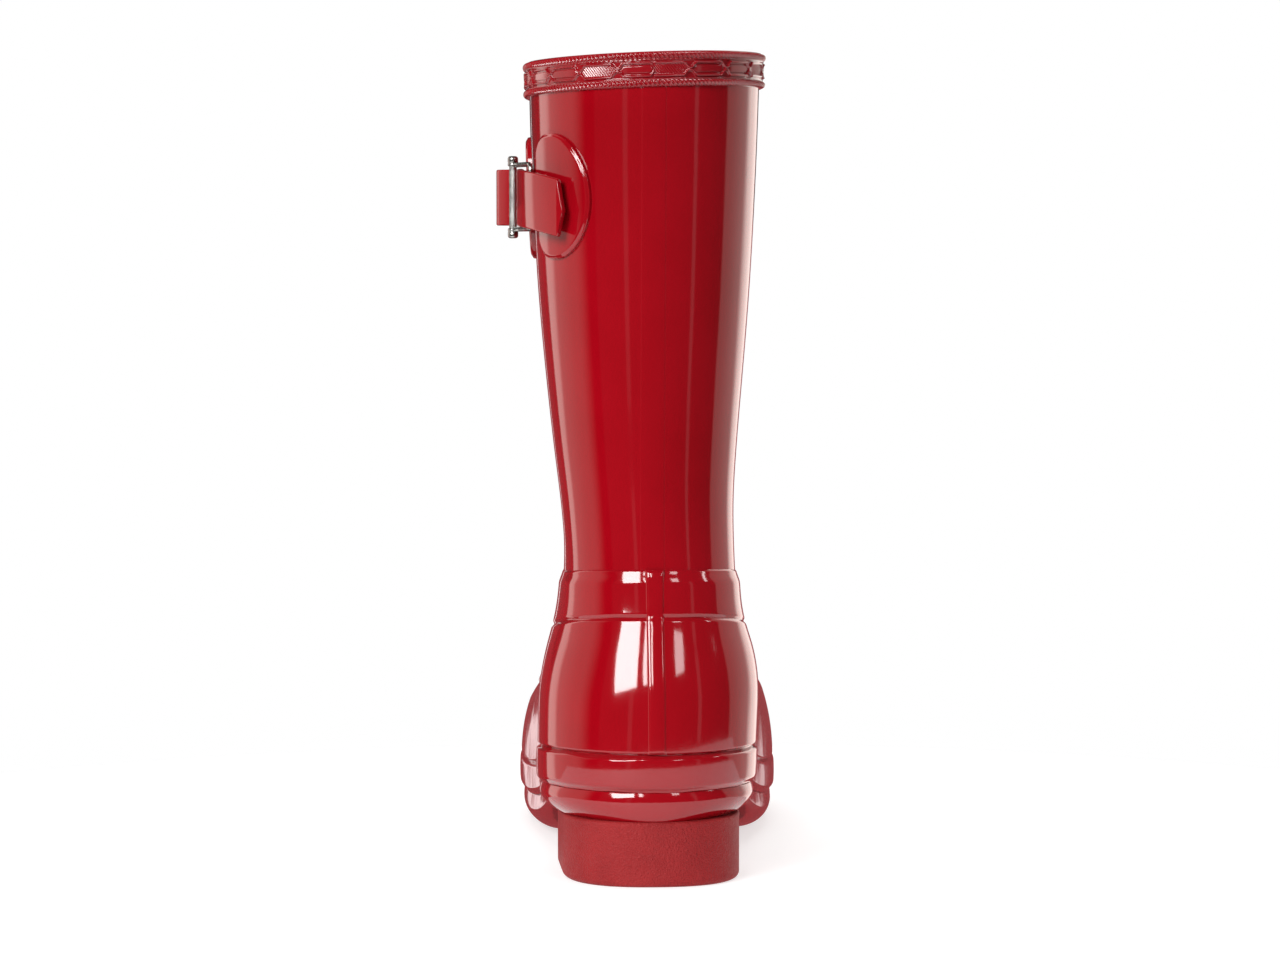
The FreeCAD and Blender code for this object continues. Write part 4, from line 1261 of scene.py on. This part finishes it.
make_walls()
make_footbed()
make_collar()
make_counter()
make_back_strips()
make_foxing()
sole_foot, sole_flat = make_outsole()
make_sole_tread(sole_foot, sole_flat)
make_heel()
make_heel_tread()
make_toe_cap()
make_saddle()
make_side_panels()
make_band()
make_patch("rear_disc", "rear_patch", middle_y=25.0, round_half=17.2, straight_half=13.0, straight=1.0,
           notch=0.28)
make_patch("front_disc", "front_patch", middle_y=76.0, round_half=16.5, straight_half=16.5, straight=-1.0,
           notch=0.0)
make_tab()
make_straps()
make_wire()
make_bar()
dress_hidden_nodes()


# Stage, light and camera -----------------------------------------------------------------------------
FLOOR_MIDDLE_Y = -0.12
FLOOR_RADIUS = 0.42
FLOOR_SPLIT_Y = -0.045


def make_floor():
    """A pale round floor in two parts; the part under the forefoot stays out of the rubber's reflections."""
    material, _, shader = new_material("floor_white", Roughness=0.7)
    shader.inputs["Base Color"].default_value = (0.45, 0.45, 0.45, 1.0)
    shader.inputs["Emission Color"].default_value = (1.0, 1.0, 1.0, 1.0)
    shader.inputs["Emission Strength"].default_value = 0.64
    split = math.acos((FLOOR_SPLIT_Y - FLOOR_MIDDLE_Y) / FLOOR_RADIUS)
    for name, start, end, mirrored in (("floor_front", split, 2.0 * math.pi - split, True),
                                       ("floor_back", -split, split, False)):
        turns = np.linspace(start, end, 65)
        rim = [(FLOOR_RADIUS * math.sin(t), FLOOR_MIDDLE_Y + FLOOR_RADIUS * math.cos(t), 0.0) for t in turns]
        mesh = bpy.data.meshes.new(name)
        mesh.from_pydata(rim, [], [tuple(range(len(rim)))[::-1]])
        mesh.materials.append(material)
        part = bpy.data.objects.new(name, mesh)
        bpy.context.scene.collection.objects.link(part)
        part.visible_glossy = mirrored


def make_world():
    """A dim room that the camera sees as plain white."""
    world = bpy.data.worlds.new("studio")
    world.use_nodes = True
    bpy.context.scene.world = world
    tree = world.node_tree
    back = tree.nodes["Background"]
    white = tree.nodes.new("ShaderNodeBackground")
    white.inputs["Color"].default_value = (1.0, 1.0, 1.0, 1.0)
    back.inputs["Color"].default_value = (0.05, 0.05, 0.05, 1.0)
    rays = tree.nodes.new("ShaderNodeLightPath")
    mix = tree.nodes.new("ShaderNodeMixShader")
    tree.links.new(rays.outputs["Is Camera Ray"], mix.inputs["Fac"])
    tree.links.new(back.outputs["Background"], mix.inputs[1])
    tree.links.new(white.outputs["Background"], mix.inputs[2])
    tree.links.new(mix.outputs["Shader"], tree.nodes["World Output"].inputs["Surface"])


AIM = Vector((0.0, -0.06, 0.13))


def aimed(name, data, turn, lift, distance):
    """Places a panel turn degrees to the right of the camera's side of the boot and lift degrees up."""
    panel = bpy.data.objects.new(name, data)
    bpy.context.scene.collection.objects.link(panel)
    a, e = math.radians(turn), math.radians(lift)
    away = Vector((math.sin(a) * math.cos(e), -math.cos(a) * math.cos(e), math.sin(e)))
    panel.location = AIM + away * distance
    panel.rotation_euler = away.to_track_quat("Z", "Y").to_euler()
    return panel


def softbox(name, turn, lift, distance, width, height, radiance, roll=0.0):
    """A lamp with an even rectangular face."""
    light = bpy.data.lights.new(name, "AREA")
    light.shape = "RECTANGLE"
    light.size = width
    light.size_y = height
    light.energy = radiance * math.pi * width * height
    panel = aimed(name, light, turn, lift, distance)
    panel.rotation_euler.rotate_axis("Z", math.radians(roll))
    return panel


def glow_panel(name, turn, lift, distance, width, height, radiance, fade):
    """A tall, warm lit screen; fade lists (place across, brightness share) from side to side."""
    mesh = bpy.data.meshes.new(name)
    w, h = 0.5 * width, 0.5 * height
    mesh.from_pydata([(-w, -h, 0), (w, -h, 0), (w, h, 0), (-w, h, 0)], [], [(0, 1, 2, 3)])
    material = bpy.data.materials.new(name)
    material.use_nodes = True
    tree = material.node_tree
    tree.nodes.clear()
    place = tree.nodes.new("ShaderNodeTexCoord").outputs["Generated"]
    split = node(tree, "ShaderNodeSeparateXYZ", [("Vector", place)])
    ramp = node(tree, "ShaderNodeValToRGB", [("Fac", split.outputs["X"])])
    ramp.color_ramp.interpolation = "EASE"
    while len(ramp.color_ramp.elements) < len(fade):
        ramp.color_ramp.elements.new(0.5)
    for element, (at, share) in zip(ramp.color_ramp.elements, fade):
        element.position = at
        element.color = (share, 0.88 * share, 0.82 * share, 1.0)
    glow = node(tree, "ShaderNodeEmission", [("Color", ramp.outputs["Color"])], Strength=radiance)
    out = tree.nodes.new("ShaderNodeOutputMaterial")
    tree.links.new(glow.outputs["Emission"], out.inputs["Surface"])
    mesh.materials.append(material)
    panel = aimed(name, mesh, turn, lift, distance)
    panel.visible_camera = False
    return panel


def make_lights():
    softbox("key_left", -35.0, 26.0, 1.5, 0.66, 0.58, 17.0, 12.0)
    softbox("key_left_strip", -13.0, 27.0, 1.5, 0.10, 0.46, 15.0, 12.0)
    softbox("key_right", 30.0, 27.0, 1.5, 0.26, 0.36, 7.0)
    softbox("strip_right", 80.0, 25.0, 1.5, 0.10, 0.42, 8.0, -12.0)
    glow_panel("side_left", -98.0, 6.0, 1.6, 2.4, 2.2, 2.0,
               [(0.0, 0.0), (0.05, 0.9), (0.20, 1.0), (0.27, 0.42), (0.60, 0.34), (0.86, 0.0)])
    glow_panel("side_right", 124.0, 6.0, 1.5, 2.0, 2.2, 2.2,
               [(0.0, 0.0), (0.06, 0.28), (0.48, 0.36), (0.62, 1.1), (0.92, 1.0), (1.0, 0.0)])
    softbox("streak_right", 52.0, 6.0, 1.5, 0.11, 0.8, 0.30)
    softbox("streak_left", -26.0, 6.0, 1.5, 0.13, 0.8, 0.20)
    softbox("rim_left", -169.0, -2.0, 1.5, 0.06, 0.6, 1.0)
    softbox("rim_right", 158.0, -2.0, 1.5, 0.06, 0.6, 0.7)
    front = softbox("front_low", 180.0, -12.0, 1.6, 3.4, 0.9, 0.26)
    front.data.color = (1.0, 0.07, 0.09)
    front.visible_diffuse = False
    top = softbox("top", 180.0, 80.0, 1.5, 1.2, 1.0, 5.0)
    top.visible_glossy = False


CAMERA_LENS = 118.46
CAMERA_PLACE = (-0.1176, -1.6160, 0.224)
CAMERA_TILT = 86.94
CAMERA_TURN = -4.162


def make_camera():
    data = bpy.data.cameras.new("camera")
    data.sensor_width = 36.0
    data.lens = CAMERA_LENS
    data.clip_start = 0.05
    camera = bpy.data.objects.new("camera", data)
    bpy.context.scene.collection.objects.link(camera)
    camera.location = CAMERA_PLACE
    camera.rotation_euler = (math.radians(CAMERA_TILT), 0.0, math.radians(CAMERA_TURN))
    bpy.context.scene.camera = camera


make_floor()
make_world()
make_lights()
make_camera()
bpy.context.scene.view_settings.view_transform = "Standard"
